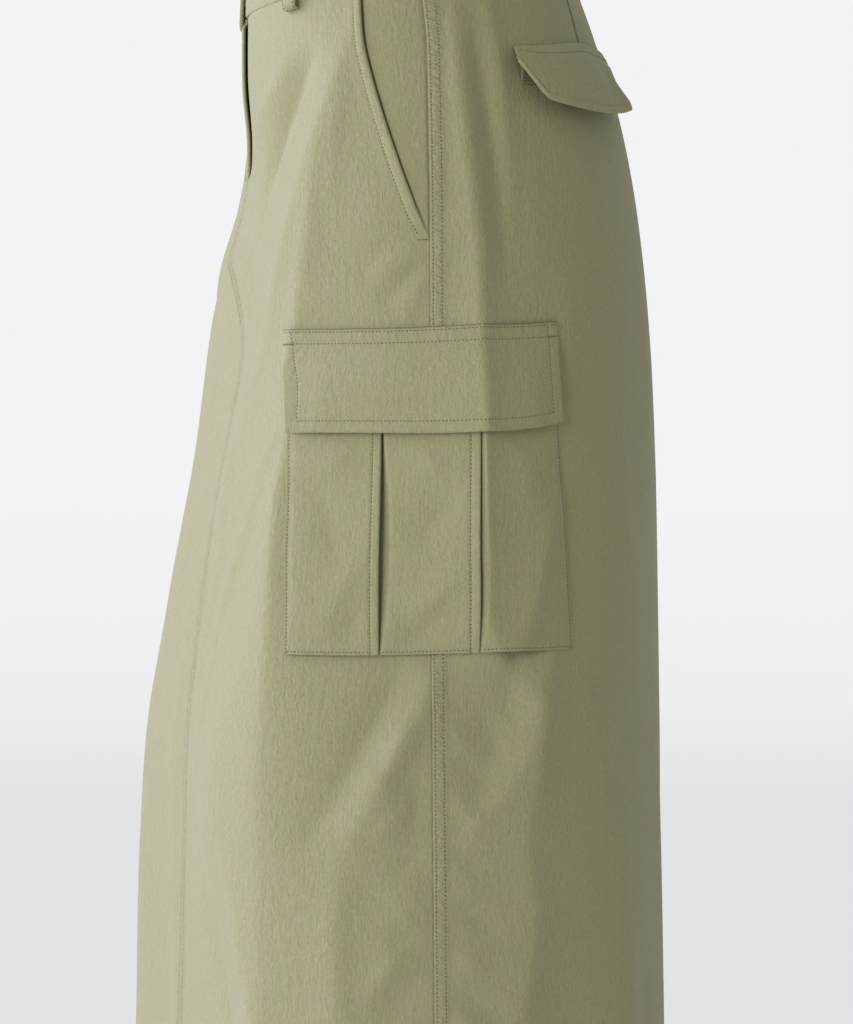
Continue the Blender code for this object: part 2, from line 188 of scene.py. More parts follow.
class ArcMap:
    # turns arcs from a side seam into angles and back: tables of arc length round each level's section
    def __init__(self, side):
        self.side = side
        self.turn = np.linspace(-2.4, 2.4, 481)
        self.level = np.linspace(-0.960, 0.030, 100)
        self.arc = np.linspace(-0.50, 0.50, 501)
        points = surface(self.angle(self.turn)[None, :], self.level[:, None])[..., :2]
        steps = np.linalg.norm(np.diff(points, axis=1), axis=2)
        self.lengths = np.concatenate([np.zeros((len(self.level), 1)), np.cumsum(steps, axis=1)], axis=1)
        self.lengths -= self.lengths[:, 240:241]
        self.turns = np.array([np.interp(self.arc, row, self.turn) for row in self.lengths])

    def angle(self, turn):
        return turn if self.side > 0 else math.pi - turn

    def between(self, table, axis, value, level):
        value, level = np.broadcast_arrays(np.asarray(value, float), np.asarray(level, float))
        row = np.clip((level - self.level[0]) / (self.level[1] - self.level[0]), 0, len(self.level) - 1.001)
        column = np.clip((value - axis[0]) / (axis[1] - axis[0]), 0, len(axis) - 1.001)
        i = row.astype(int)
        j = column.astype(int)
        row = row - i
        column = column - j
        lower = table[i, j] * (1 - column) + table[i, j + 1] * column
        upper = table[i + 1, j] * (1 - column) + table[i + 1, j + 1] * column
        return lower * (1 - row) + upper * row

    def angleAt(self, arc, level):
        return self.angle(self.between(self.turns, self.arc, arc, level))

    def arcAt(self, angle, level):
        turn = angle if self.side > 0 else math.pi - angle
        return self.between(self.lengths, self.turn, roundAway(turn, 0), level)


arcMaps = {1: ArcMap(1), -1: ArcMap(-1)}
sideNames = {1: "left", -1: "right"}
print("skirt: body form ready")

# The cloth hangs straight over the side of the hip and thigh, between a corner in front and one behind the
# seam. Each row in millimetres: level, arcs of both corners from the side seam, their heights, how flat the
# cloth is between them (percent), how round the corners are and how far they run out to front and back.
planes = {
    "rows": (  # level, front arc, back arc, front height, back height, flat, rounding x 2, run-out x 2
        (30, -50, 20, 0, 0, 0, 10, 6, 40, 15),
        (-40, -48, 18, 0, 0, 0, 10, 6, 40, 15),
        (-75, -52, 18, 1.0, 2.4, 10, 12, 4, 36, 10),
        (-112, -60, 21, 2.2, 4.0, 25, 10, 3, 34, 10),
        (-145, -70, 24, 3.5, 5.4, 35, 9, 2.5, 32, 12),
        (-178, -79, 26.5, 5.0, 6.6, 50, 8, 2, 30, 14),
        (-205, -84, 27, 5.5, 7.0, 65, 6, 1.5, 30, 16),
        (-240, -91, 27.5, 4.6, 7.7, 80, 4.5, 1.5, 30, 14),
        (-292, -92, 28, 5.0, 7.9, 100, 4.5, 1.5, 30, 14),
        (-325, -97, 28, 7.8, 7.6, 100, 7, 1.5, 30, 14),
        (-352, -98, 28.5, 9.0, 7.0, 100, 10, 2, 30, 16),
        (-393, -100, 30, 9.2, 5.5, 95, 18, 4, 32, 20),
        (-412, -101, 38, 8.8, 5.0, 80, 26, 7, 34, 24),
        (-440, -101, 60, 8.6, 5.0, 60, 32, 8, 34, 24),
        (-478, -102, 60, 9.0, 6.0, 45, 34, 6, 36, 26),
        (-517, -103, 53, 9.2, 6.0, 40, 36, 6, 36, 26),
        (-560, -104, 58, 9.2, 6.0, 40, 36, 7, 36, 28),
        (-600, -103, 52, 9.2, 6.5, 40, 36, 7, 36, 28),
        (-640, -103, 47, 9.2, 6.5, 40, 36, 7, 36, 28),
        (-760, -102, 50, 8.8, 7.0, 45, 34, 8, 36, 28),
        (-960, -101, 56, 8.0, 7.0, 50, 32, 8, 36, 28),
    ),
    "rightHeight": 0.8,  # the right side has the same planes, but less marked and a little further forward
    "rightArc": 0.006,
}
planeRows = np.array(planes["rows"]) / (1000, 1000, 1000, 1000, 1000, 100, 1000, 1000, 1000, 1000)

# Creases of the cloth, each a soft ridge or trough along a path on the left side: how far it spreads to its
# front and to its back and how round its top is, then millimetres from the side seam (to the back positive),
# of level and of height. The right side has the same ones with changes of its own.
creases = {
    "broad": (
        (42, 46, 20, ((-130, -383, 0), (-140, -429, 3), (-154, -488, 7), (-165, -546, 6), (-179, -630, 2),
            (-190, -760, -1), (-196, -945, -2))),
    ),
    "fine": (
        # beside and behind the side seam, from the waist down
        (13, 7, 2, ((15, -26, 0), (16, -50, 3.2), (17, -85, 4.4), (19, -110, 4.4), (22, -145, 4.0),
            (25, -180, 3.4), (27, -215, 2.4), (28, -250, 1.4), (28, -278, 0))),
        (6, 6, 2, ((26, -38, 0), (28, -60, -1.6), (31, -81, -2.6), (34, -110, -3.4), (38, -144, -3.0),
                   (41, -178, -1.6), (42, -215, 0))),
        (6, 7, 2, ((34, -22, 0), (37, -50, 2.8), (40, -76, 3.6), (42, -96, 3.4), (44, -115, 2.8),
            (46, -140, 2.0),
                   (47, -185, 0))),
        (6, 8, 3, ((60, -120, 0), (62, -150, 0.8), (63, -185, 0.7), (64, -220, 0))),
        (6, 7, 2, ((25, -153, 0), (18, -164, 1.0), (11, -177, 1.0), (7, -187, 0))),
        # from the waist down over the front hip
        (13, 11, 4, ((-43, -30, 0), (-48, -58, 2.2), (-58, -86, 3.6), (-69, -109, 4.4), (-80, -134, 5.0),
            (-90, -158, 5.4), (-100, -179, 5.4), (-111, -203, 4.6), (-123, -228, 3.2), (-142, -256, 2.2),
            (-166, -285, 1.8), (-188, -327, 1.4), (-206, -358, 0))),
        (9, 9, 3.5, ((-93, -52, 0), (-103, -66, 2.2), (-122, -79, 2.6), (-146, -93, 2.2), (-175, -110, 0))),
        (6, 10, 3.5, ((-69, -50, 0), (-83, -71, -5.2), (-97, -87, -7.2), (-111, -101, -8.0),
            (-129, -119, -6.4), (-150, -140, -3.2), (-172, -168, 0))),
        (12, 17, 3, ((-112, -100, 0), (-127, -117, -2.2), (-143, -136, -3.0), (-160, -160, -3.2),
            (-171, -182, -2.6), (-177, -202, -1.6), (-176, -222, -0.6), (-168, -246, 0))),
        (5, 8, 2, ((-60, -96, 0), (-67, -118, 1.2), (-72, -146, 1.4), (-74, -176, 1.2), (-80, -205, 0))),
        (5, 7, 2, ((-47, -80, 0), (-54, -104, 1.1), (-58, -134, 1.1), (-60, -170, 0))),
        (6, 6, 2, ((-222, -175, 0), (-197, -193, -2.8), (-174, -209, -2.8), (-160, -224, 0))),
        # small ones between the slanted pocket's end and the cargo flap
        (5, 5, 2, ((-1, -183, 0), (-15, -190, 1.3), (-29, -192, 1.3), (-43, -190, 0))),
        (5, 5, 2, ((-3, -190, 0), (-13, -198, -1.3), (-23, -207, -1.1), (-34, -214, 0))),
        (5, 5, 2, ((-2, -197, 0), (-7, -206, 1.3), (-15, -215, 1.1), (-22, -221, 0))),
        (6, 6, 2, ((-17, -175, 0), (-29, -183, -0.9), (-40, -196, -0.9), (-47, -206, 0))),
        # in front of the cargo pocket
        (6, 9, 2, ((-99, -279, 0), (-108, -294, 1.6), (-122, -310, 1.8), (-132, -337, 0))),
        (6, 9, 2, ((-160, -290, 0), (-180, -305, 1.8), (-180, -337, 2), (-185, -368, 2), (-197, -402, 1.8),
                   (-207, -432, 0))),
        (7, 9, 2, ((-112, -311, 0), (-127, -334, 2), (-148, -360, 2.2), (-165, -387, 2.2),
            (-177, -419, 1.8),
                   (-185, -460, 1.1), (-198, -490, 0))),
        # drags below the cargo pocket
        (12, 13, 4, ((-13, -415, 0), (-20, -426, -2.2), (-35, -452, -3.5), (-51, -480, -3.5),
            (-68, -509, -2.2), (-81, -534, 0))),
        (11, 14, 4, ((4, -416, 0), (-2, -432, 2.5), (-14, -457, 3.8), (-29, -485, 3.5), (-44, -511, 2),
            (-54, -533, 0))),
        (10, 12, 4, ((21, -432, 0), (34, -454, -2), (36, -472, -3), (25, -494, -2.5), (12, -513, -1.2),
            (3, -527, 0))),
        (9, 11, 3, ((76, -385, 0), (71, -405, 1.8), (66, -427, 2.5), (60, -450, 3), (52, -474, 3),
            (38, -494, 2.8), (22, -514, 1.5), (10, -533, 0))),
        (7, 9, 3, ((42, -362, 0), (44, -388, -2.6), (46, -412, -4.0), (47, -432, -3.0), (46, -462, 0))),
        (9, 10, 3, ((-5, -457, 0), (-7, -477, -1.5), (-11, -502, -1.8), (-16, -521, 0))),
        (10, 12, 3, ((-8, -538, 0), (-15, -557, 1.6), (-23, -577, 1.8), (-32, -599, 1), (-39, -617, 0.5),
            (-46, -660, 0))),
        (11, 12, 4, ((-207, -502, 0), (-184, -530, -1.9), (-166, -563, -2.5), (-152, -596, -2.5),
            (-143, -626, -2.5), (-134, -760, -1.8), (-130, -900, 0))),
        (9, 12, 4, ((-160, -494, 0), (-139, -521, 1.2), (-126, -560, 1.8), (-117, -599, 2), (-111, -622, 2),
            (-108, -760, 1.5), (-104, -930, 1.2))),
        (10, 13, 4, ((-52, -518, 0), (-55, -550, 2), (-57, -578, 2.5), (-55, -605, 2.5), (-55, -640, 2.2),
            (-56, -760, 1.8), (-58, -945, 1.5))),
        # behind the cargo pocket and down the back
        (10, 12, 3, ((82, -176, 0), (86, -222, 1), (88, -279, 1.2), (89, -337, 0))),
        (10, 12, 3, ((125, -255, 0), (136, -308, 1), (149, -372, 1), (154, -442, 0))),
        (10, 12, 3, ((83, -405, 0), (97, -439, 1.3), (110, -474, 1.3), (117, -532, 0))),
        (10, 13, 4, ((172, -130, 0), (180, -190, 1.3), (184, -270, 1.7), (180, -350, 0))),
        (13, 15, 5, ((190, -400, 0), (194, -500, 2.1), (200, -640, 2.6), (204, -800, 2.1),
            (206, -945, 1.6))),
        (12, 13, 5, ((150, -560, 0), (156, -660, -1.8), (160, -790, -2.3), (161, -945, -1.8))),
        (14, 15, 6, ((128, -470, 0), (132, -560, 1.5), (134, -690, 2.1), (136, -820, 1.7),
            (137, -945, 1.2))),
        (12, 14, 5, ((-238, -330, 0), (-242, -430, 1.8), (-248, -560, 2.3), (-252, -760, 1.8),
            (-254, -945, 1.3))),
    ),
    "bag": (
        (8, 10, 3, ((76, -314, 0), (69, -337, 2), (62, -365, 2.9), (54, -393, 2.9), (46, -418, 2.2),
            (42, -438, 0))),
        (7, 9, 3, ((40, -291, 0), (51, -304, 1.6), (55, -325, 1.3), (53, -348, 0))),
        (7, 8, 3, ((-16, -291, 0), (-2, -302, 1.6), (8, -317, 0))),
        (8, 9, 3, ((17, -314, 0), (8, -328, -1.6), (-1, -342, -1.6), (-11, -353, 0))),
        (7, 9, 3, ((24, -359, 0), (11, -371, 1.6), (-2, -384, 1.8), (-16, -394, 0))),
        (6, 7, 3, ((17, -382, 0), (4, -392, -1.4), (-9, -401, -1.6), (-22, -409, 0))),
        (8, 9, 3, ((-85, -308, 0), (-69, -325, -1.3), (-61, -348, -1.3), (-56, -370, 0))),
        (7, 8, 3, ((-40, -348, 0), (-50, -368, 1.3), (-60, -387, 1.3), (-72, -405, 0))),
        (6, 7, 3, ((-41, -382, 0), (-49, -396, -1.3), (-60, -407, 0))),
        (6, 7, 3, ((-46, -296, 0), (-60, -304, 1.3), (-79, -313, 0))),
    ),
}
lowCreases = {"deeper": 0.35, "from": -0.405, "over": 0.030}  # those below the cargo pockets are deeper
rightCreases = {  # the right side isn't quite the left side's mirror image
    "height": (0.30, 0.70),
    "arc": (-0.008, 0.008),
    "level": (-0.015, 0.015),
}
drags = {  # short ones that pull away from the side seams below the cargo pockets, alternately up and down
    "top": -0.452,
    "bottom": -0.905,
    "apart": 0.021,
    "height": 0.0019,
    "spread": 0.0055,
    "roundness": 0.002,
    "start": (0.004, 0.012),
    "reach": (0.016, 0.034),
    "fall": (0.010, 0.030),
}


def throughPoints(rows, count):
    # a cubic through rows of numbers at even steps, sampled count times
    rows = np.array(rows, float)
    slope = np.gradient(rows, axis=0)
    at = np.linspace(0, len(rows) - 1, count)
    i = np.clip(at.astype(int), 0, len(rows) - 2)
    t = (at - i)[:, None]
    ends = rows[i] * (1 + 2 * t) * (1 - t) ** 2 + rows[i + 1] * t * t * (3 - 2 * t)
    return ends + t * (1 - t) * (slope[i] * (1 - t) - slope[i + 1] * t)


def creaseLine(side, path, spreads, roundness):
    # a path of arcs, levels and heights in metres as points on the body surface
    points = surface(arcMaps[side].angleAt(path[:, 0], path[:, 1]), path[:, 1])
    return points, path[:, 2], spreads, roundness


def creaseLines(group, seed):
    lines = []
    vary = np.random.default_rng(seed)
    for side in (1, -1):
        for toFront, toBack, roundness, rows in creases[group]:
            path = throughPoints(rows, 4 * len(rows)) / 1000
            low = ease((lowCreases["from"] - path[:, 1]) / lowCreases["over"])
            path[:, 2] *= 1 + lowCreases["deeper"] * low
            if side < 0:
                path[:, 2] *= vary.uniform(*rightCreases["height"])
                path[:, 0] += vary.uniform(*rightCreases["arc"])
                path[:, 1] += vary.uniform(*rightCreases["level"])
            spreads = (toFront / 1000, toBack / 1000)
            lines.append(creaseLine(side, path, spreads if side > 0 else spreads[::-1], roundness / 1000))
    return lines


def dragLines(seed):
    # paths that leave the seam, fall away from it and fade at both ends
    lines = []
    vary = np.random.default_rng(seed)
    spreads = (drags["spread"],) * 2
    for side in (1, -1):
        for way in (1, -1):
            levels = np.arange(drags["top"], drags["bottom"], -drags["apart"])
            for number, level in enumerate(levels + vary.uniform(-0.006, 0.006, len(levels))):
                share = np.linspace(0, 1, 8)
                arc = way * (vary.uniform(*drags["start"]) + vary.uniform(*drags["reach"]) * share)
                height = drags["height"] * (-1) ** number * vary.uniform(0.5, 1.4) * np.sin(math.pi * share)
                path = np.stack([arc, level - vary.uniform(*drags["fall"]) * share, height], -1)
                lines.append(creaseLine(side, path, spreads, drags["roundness"]))
    return lines


creased = {group: creaseLines(group, 7 + number) for number, group in enumerate(creases)}
creased["fine"] += dragLines(21)


def relief(points, normals, groups):
    # height of the creases: for each line its height at the nearest place, times exp(-(d' - roundness) /
    # spread) with d' = sqrt(distance squared + roundness squared), fading to nothing at the crease's reach
    shape = points.shape[:-1]
    flat = points.reshape(-1, 3)
    facing = normals.reshape(-1, 3)
    total = np.zeros(len(flat))
    for path, heights, (toFront, toBack), roundness in [line for group in groups for line in creased[group]]:
        reach = 3.4 * max(toFront, toBack) + roundness
        near = np.all((flat > path.min(0) - reach) & (flat < path.max(0) + reach), axis=1)
        ids = np.nonzero(near)[0]
        if not len(ids):
            continue
        point = flat[ids][:, None]
        step = np.diff(path, axis=0)[None]
        share = np.clip(((point - path[None, :-1]) * step).sum(-1) / (step**2).sum(-1), 0, 1)
        offset = point - (path[None, :-1] + share[..., None] * step)
        apart = (offset**2).sum(-1)
        at = apart.argmin(axis=1)
        row = np.arange(len(ids))
        share = share[row, at]
        height = heights[at] * (1 - share) + heights[at + 1] * share
        behind = (np.cross(facing[ids], step[0, at]) * offset[row, at]).sum(-1) < 0
        spread = np.where(behind, toBack, toFront)
        distance = np.sqrt(apart[row, at] + roundness**2) - roundness
        total[ids] += height * np.exp(-distance / spread) * (1 - np.clip(distance / reach, 0, 1) ** 2) ** 2
    return total.reshape(shape)


def planeHeight(side, arc, level, base, normal):
    # height that turns the stretch between the corners into a plane through both: where the line along the
    # normal meets the upright plane through the corners' points; outside, the corner's height fades away
    front, back, frontHeight, backHeight, flat, frontRound, backRound, frontRun, backRun = [
        smoothRow(planeRows, column, level) for column in range(1, 10)
    ]
    if side < 0:
        front, back = front - planes["rightArc"], back - planes["rightArc"]
        frontHeight, backHeight = frontHeight * planes["rightHeight"], backHeight * planes["rightHeight"]
    first = surface(arcMaps[side].angleAt(front, level), level)
    last = surface(arcMaps[side].angleAt(back, level), level)
    chord = last - first
    square = np.stack([chord[..., 1], -chord[..., 0], 0 * chord[..., 0]], -1)
    square *= np.sign((square * first).sum(-1, keepdims=True))
    facing = np.maximum((normal * square).sum(-1) / np.linalg.norm(square, axis=-1), 0.3)
    gone = ((first - base) * square).sum(-1) / np.linalg.norm(square, axis=-1) / facing
    share = np.clip((arc - front) / (back - front), 0, 1)
    inside = frontHeight + (backHeight - frontHeight) * share + flat * np.minimum(gone, 0)
    softFront, softBack = 0.4 * frontRound, 0.3 * backRound
    pastFirst = np.sqrt(np.maximum(front - arc, 0) ** 2 + softFront**2) - softFront
    pastLast = np.sqrt(np.maximum(arc - back, 0) ** 2 + softBack**2) - softBack
    inFront = arc < (front + back) / 2
    outside = np.where(
        inFront, frontHeight * np.exp(-pastFirst / frontRun), backHeight * np.exp(-pastLast / backRun)
    )
    pastFront = (arc - front) / frontRound
    pastBack = (back - arc) / backRound
    window = (1 + pastFront / np.sqrt(1 + pastFront**2)) * (1 + pastBack / np.sqrt(1 + pastBack**2)) / 4
    return outside + (inside - outside) * window


def place(side, arc, level, lift, groups=("broad", "fine")):
    # points at arcs from a side seam and at levels: the surface, moved out by lift, planes and creases
    arc, level, lift = np.broadcast_arrays(arc, level, lift)
    angle = arcMaps[side].angleAt(arc, level)
    base = surface(angle, level)
    normal = outward(angle, level)
    height = lift + planeHeight(side, arc, level, base, normal) + relief(base, normal, groups)
    return base + normal * height[..., None]


class Value:
    # a shader socket that Python expressions can be written with: each operation adds its Math node
    def __init__(self, graph, socket):
        self.graph = graph
        self.socket = socket

    def math(self, operation, *others, flip=False):
        values = [self, *others]
        if flip:
            values.reverse()
        return self.graph.node("ShaderNodeMath", {"operation": operation}, dict(enumerate(values)))

    def __add__(self, other):
        return self.math("ADD", other)

    def __radd__(self, other):
        return self.math("ADD", other, flip=True)

    def __sub__(self, other):
        return self.math("SUBTRACT", other)

    def __rsub__(self, other):
        return self.math("SUBTRACT", other, flip=True)

    def __mul__(self, other):
        return self.math("MULTIPLY", other)

    def __rmul__(self, other):
        return self.math("MULTIPLY", other, flip=True)

    def limited(self, low=0.0, high=1.0):
        return self.math("MAXIMUM", low).math("MINIMUM", high)


class Graph:
    # one material's nodes
    def __init__(self, name):
        self.material = bpy.data.materials.new(name)
        self.material.use_nodes = True
        self.nodes = self.material.node_tree.nodes
        self.links = self.material.node_tree.links
        self.shader = self.nodes["Principled BSDF"]

    def node(self, kind, settings=None, values=None, out=0):
        made = self.nodes.new(kind)
        for name, setting in (settings or {}).items():
            if name == "stops":
                self.setStops(made.color_ramp, setting)
            else:
                setattr(made, name, setting)
        for name, value in (values or {}).items():
            self.feed(made.inputs[name], value)
        return Value(self, made.outputs[out])

    def setStops(self, blend, stops):
        while len(blend.elements) < len(stops):
            blend.elements.new(1)
        for element, (position, colour) in zip(blend.elements, stops):
            element.position = position
            element.color = (*colour, 1)

    def feed(self, socket, value):
        if isinstance(value, Value):
            self.links.new(value.socket, socket)
        else:
            socket.default_value = value

    def shade(self, **values):
        for name, value in values.items():
            self.feed(self.shader.inputs[name.replace("_", " ")], value)

    def mixed(self, factor, first, second, how="MIX"):
        settings = {"data_type": "RGBA", "blend_type": how}
        return self.node("ShaderNodeMix", settings, {0: factor, 6: first, 7: second}, out=2)

    def noise(self, place, scale, turned=0.0, detail=2.0):
        # noise whose grains are 1 / scale metres wide and long, in a frame turned by an angle
        values = {"Vector": place, "Scale": (1 / scale[0], 1 / scale[1], 1), "Rotation": (0, 0, turned)}
        grain = self.node("ShaderNodeMapping", {"vector_type": "TEXTURE"}, values)
        values = {"Vector": grain, "Scale": 1.0, "Detail": detail, "Roughness": 0.6}
        return self.node("ShaderNodeTexNoise", {}, values)


clothFinish = {
    "colour": (0.288, 0.298, 0.141, 1),
    "colourWarm": (0.316, 0.286, 0.155, 1),
    "shadow": (0.090, 0.091, 0.053, 1),  # painted shade, mixed into the colour inside the tucks, the pocket openings and the fly, along some seam edges and the dart, and under the flaps
    "streaks": (640, 190),  # grains a metre across and along the cloth
    "crumples": (300, 130),
    "fibres": (1200, 460),
    "mottle": (100, 42),
    "puckers": (150, 430),
    "shader": {"Roughness": 0.68, "Specular_IOR_Level": 0.30, "Sheen_Weight": 0.22, "Sheen_Roughness": 0.45},
}


def clothMaterial():
    # crisp cotton and nylon: upright streaks and fine fibres in the height and the colour, crumples in the
    # height with a little painted light and shade of them in the colour, warm patches in the colour, and
    # painted shade in the hollows that an attribute marks
    graph = Graph("sageCloth")
    uv = graph.node("ShaderNodeUVMap", {"uv_map": "cloth"})
    streaks = graph.noise(uv, clothFinish["streaks"], math.radians(3), 2.0)
    crumples = graph.noise(uv, clothFinish["crumples"], math.radians(-5), 1.0)
    fibres = graph.noise(uv, clothFinish["fibres"])
    mottle = graph.noise(uv, clothFinish["mottle"], detail=4.0)
    wrinkles = graph.noise(uv, clothFinish["puckers"], math.radians(-30))
    puckered = graph.node("ShaderNodeAttribute", {"attribute_name": "pucker"}, out=2)
    deep = graph.node("ShaderNodeAttribute", {"attribute_name": "deep"}, out=2)
    colour = graph.mixed(mottle.limited(), clothFinish["colour"], clothFinish["colourWarm"])
    # lighter and darker with the streaks and fibres, the cloth's own uneven tone, and a little with the
    # crumples, a painted light and shade of the crumples that the bump makes too
    uneven = (streaks - 0.5) * 0.35 + (fibres - 0.5) * 1.15 + (crumples - 0.5) * 0.15
    tint = (uneven + 0.5).limited()
    light = graph.mixed(tint, (0.80, 0.80, 0.80, 1), (1.20, 1.20, 1.20, 1))
    colour = graph.mixed(1.0, colour, light, "MULTIPLY")
    # painted shade: the colour goes towards the shadow colour where the piece's painted-shade attribute is
    # set
    colour = graph.mixed(deep.limited(), colour, clothFinish["shadow"])
    height = streaks * 0.34 + crumples * 0.54 + fibres * 0.30 + (wrinkles - 0.5) * puckered * 1.35
    bump = graph.node("ShaderNodeBump", {}, {"Strength": 1.0, "Distance": 0.001, "Height": height})
    graph.shade(Base_Color=colour, Normal=bump, **clothFinish["shader"])
    return graph.material


def plainMaterial(name, colour, roughness, metallic=0.0):
    # one colour with a fine grain in its shade and height
    graph = Graph(name)
    grain = graph.node("ShaderNodeTexCoord", out=3)
    noise = graph.noise(grain, (900.0, 900.0))
    tint = graph.mixed(noise, (*[c * 0.8 for c in colour], 1), (*[c * 1.15 for c in colour], 1))
    bump = graph.node("ShaderNodeBump", {}, {"Strength": 0.3, "Distance": 0.0003, "Height": noise})
    graph.shade(Base_Color=tint, Roughness=roughness, Metallic=metallic, Normal=bump)
    return graph.material


cloth = clothMaterial()
# the stitches are darker than the cloth: a painted shade of the dents and needle holes along them
shadedThread = plainMaterial("threadWithPaintedShade", (0.140, 0.137, 0.066), 0.7)
zipCloth = plainMaterial("zipTapeCloth", (0.040, 0.040, 0.034), 0.8)
zipNylon = plainMaterial("zipCoil", (0.030, 0.030, 0.026), 0.4)
metal = plainMaterial("darkNickel", (0.35, 0.34, 0.32), 0.35, 1.0)
print("skirt: materials ready")


def addMesh(name, points, faces, surfaceMaterial):
    # a smooth-shaded mesh in one material, and its object at the origin
    mesh = bpy.data.meshes.new(name)
    mesh.from_pydata(points.reshape(-1, 3).tolist(), [], faces.tolist())
    mesh.update()
    mesh.shade_smooth()
    mesh.materials.append(surfaceMaterial)
    thing = bpy.data.objects.new(name, mesh)
    bpy.context.scene.collection.objects.link(thing)
    return thing


def gridFaces(rows, columns, closed=False):
    # the quads of a grid, whose last column may meet its first
    index = np.arange(rows * columns).reshape(rows, columns)
    if closed:
        index = np.concatenate([index, index[:, :1]], axis=1)
    return np.stack([index[:-1, :-1], index[:-1, 1:], index[1:, 1:], index[1:, :-1]], -1).reshape(-1, 4)


def setAttribute(mesh, name, values, shape):
    attribute = mesh.attributes.new(name, "FLOAT", "POINT")
    values = np.ascontiguousarray(np.broadcast_to(values, shape), np.float32)
    attribute.data.foreach_set("value", values.ravel())


def named(kind, side):
    return f"{kind}_{sideNames[side]}"


def clothArea(points):
    # the sum of the grid's cells, each half the cross product of its diagonals
    across = points[1:, 1:] - points[:-1, :-1]
    other = points[1:, :-1] - points[:-1, 1:]
    return float(np.linalg.norm(np.cross(across, other), axis=-1).sum() / 2)


def sheet(node, points, uv, thickness, flat, surfaceMaterial=cloth, pucker=0.0, deep=0.0):
    # a grid of points (rows, columns, xyz) as cloth: an open surface that Solidify makes a thin closed shell;
    # uv is the way across and along the cloth in metres, then a corner of the piece's own in the pattern
    across, along, *corner = uv
    flatPlaces = (np.stack(np.broadcast_arrays(across, along), -1) + corner).reshape(-1, 2)
    faces = gridFaces(*points.shape[:2])
    thing = addMesh(node + "_cloth", points, faces, surfaceMaterial)
    layer = thing.data.uv_layers.new(name="cloth")
    layer.data.foreach_set("uv", np.ascontiguousarray(flatPlaces[faces.ravel()], np.float32).ravel())
    setAttribute(thing.data, "pucker", pucker, points.shape[:2])
    # the attribute that tells the cloth's material where to paint shade
    setAttribute(thing.data, "deep", deep, points.shape[:2])
    solidify = thing.modifiers.new("Thickness", "SOLIDIFY")
    solidify.thickness = thickness
    solidify.offset = 0
    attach(thing, "root")
    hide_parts(node)
    area = round(min(clothArea(points), flat[0] * flat[1]), 5)


stitching = {"pitch": 0.00226, "length": 0.00138, "width": 0.00080, "height": 0.00026, "tackPitch": 0.0013}
stitchPaths = {}


def outwardNormals(points):
    # unit normals of a grid from its differences along both directions, turned away from the body's axis
    normal = np.cross(np.gradient(points, axis=0), np.gradient(points, axis=1))
    normal *= np.sign((normal * points * (1, 1, 0)).sum(-1, keepdims=True))
    return normal / np.maximum(np.linalg.norm(normal, axis=-1, keepdims=True), 1e-12)


def keepStitches(group, path, normal, thickness, pitch=None):
    # sets stitches at even steps along a path of points on a piece's middle surface
    outside = path + normal * thickness / 2
    stitchPaths.setdefault(group, []).append((outside, normal, pitch or stitching["pitch"]))


def keepRuns(group, points, thickness, runs):
    # the same along parts of a grid, each given as its rows and columns
    normals = outwardNormals(points)
    for run in runs:
        keepStitches(group, points[run], normals[run], thickness)


def keepStitchesOn(group, side, arc, level, lift, thickness, pitch=None):
    # the same along a path of arcs and levels
    arc, level = np.broadcast_arrays(np.asarray(arc, float), np.asarray(level, float))
    points = place(side, arc, level, lift)
    keepStitches(group, points, outward(arcMaps[side].angleAt(arc, level), level), thickness, pitch)


def alongRun(at, run, values):
    # rows of three values at some distances along a run
    return np.stack([np.interp(at, run, values[:, k]) for k in range(3)], -1)


def makeStitches(group, surfaceMaterial=shadedThread):
    # each stitch is a small spindle: three rings of five points between two poles, half sunk into the cloth
    around = np.radians(np.arange(5) * 72 + 18)
    rings = []
    for x, radius in ((-0.6, 0.8), (0, 1), (0.6, 0.8)):
        rings.append(np.stack([x + 0 * around, radius * np.cos(around), radius * np.sin(around)], -1))
    spindle = np.concatenate([[(-1, 0, 0)], *rings, [(1, 0, 0)]])
    i = np.arange(5)
    after = (i + 1) % 5
    triangles = [np.stack([0 * i, 1 + after, 1 + i], -1), np.stack([11 + i, 11 + after, 16 + 0 * i], -1)]
    for start in (1, 6):
        triangles.append(np.stack([start + i, start + after, start + 5 + after], -1))
        triangles.append(np.stack([start + i, start + 5 + after, start + 5 + i], -1))
    triangles = np.concatenate(triangles)
    centres, alongs, ups = [], [], []
    for path, normal, pitch in stitchPaths[group]:
        run = np.concatenate([[0], np.cumsum(np.linalg.norm(np.diff(path, axis=0), axis=1))])
        at = np.arange(pitch / 2, run[-1], pitch)
        reach = stitching["length"] / 3
        centres.append(alongRun(at, run, path))
        alongs.append(alongRun(at + reach, run, path) - alongRun(at - reach, run, path))
        ups.append(alongRun(at, run, normal))
    centre, along, up = np.concatenate(centres), np.concatenate(alongs), np.concatenate(ups)
    along /= np.linalg.norm(along, axis=1, keepdims=True)
    across = np.cross(up, along)
    across /= np.linalg.norm(across, axis=1, keepdims=True)
    size = (stitching["length"] / 2, stitching["width"] / 2, stitching["height"])
    axes = np.stack([along * size[0], across * size[1], np.cross(along, across) * size[2]], 1)
    vertices = centre[:, None] + np.einsum("pk,nkd->npd", spindle, axes)
    faces = triangles[None] + len(spindle) * np.arange(len(centre))[:, None, None]
    thing = addMesh(group, vertices, faces.reshape(-1, 3), surfaceMaterial)
    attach(thing, "root")


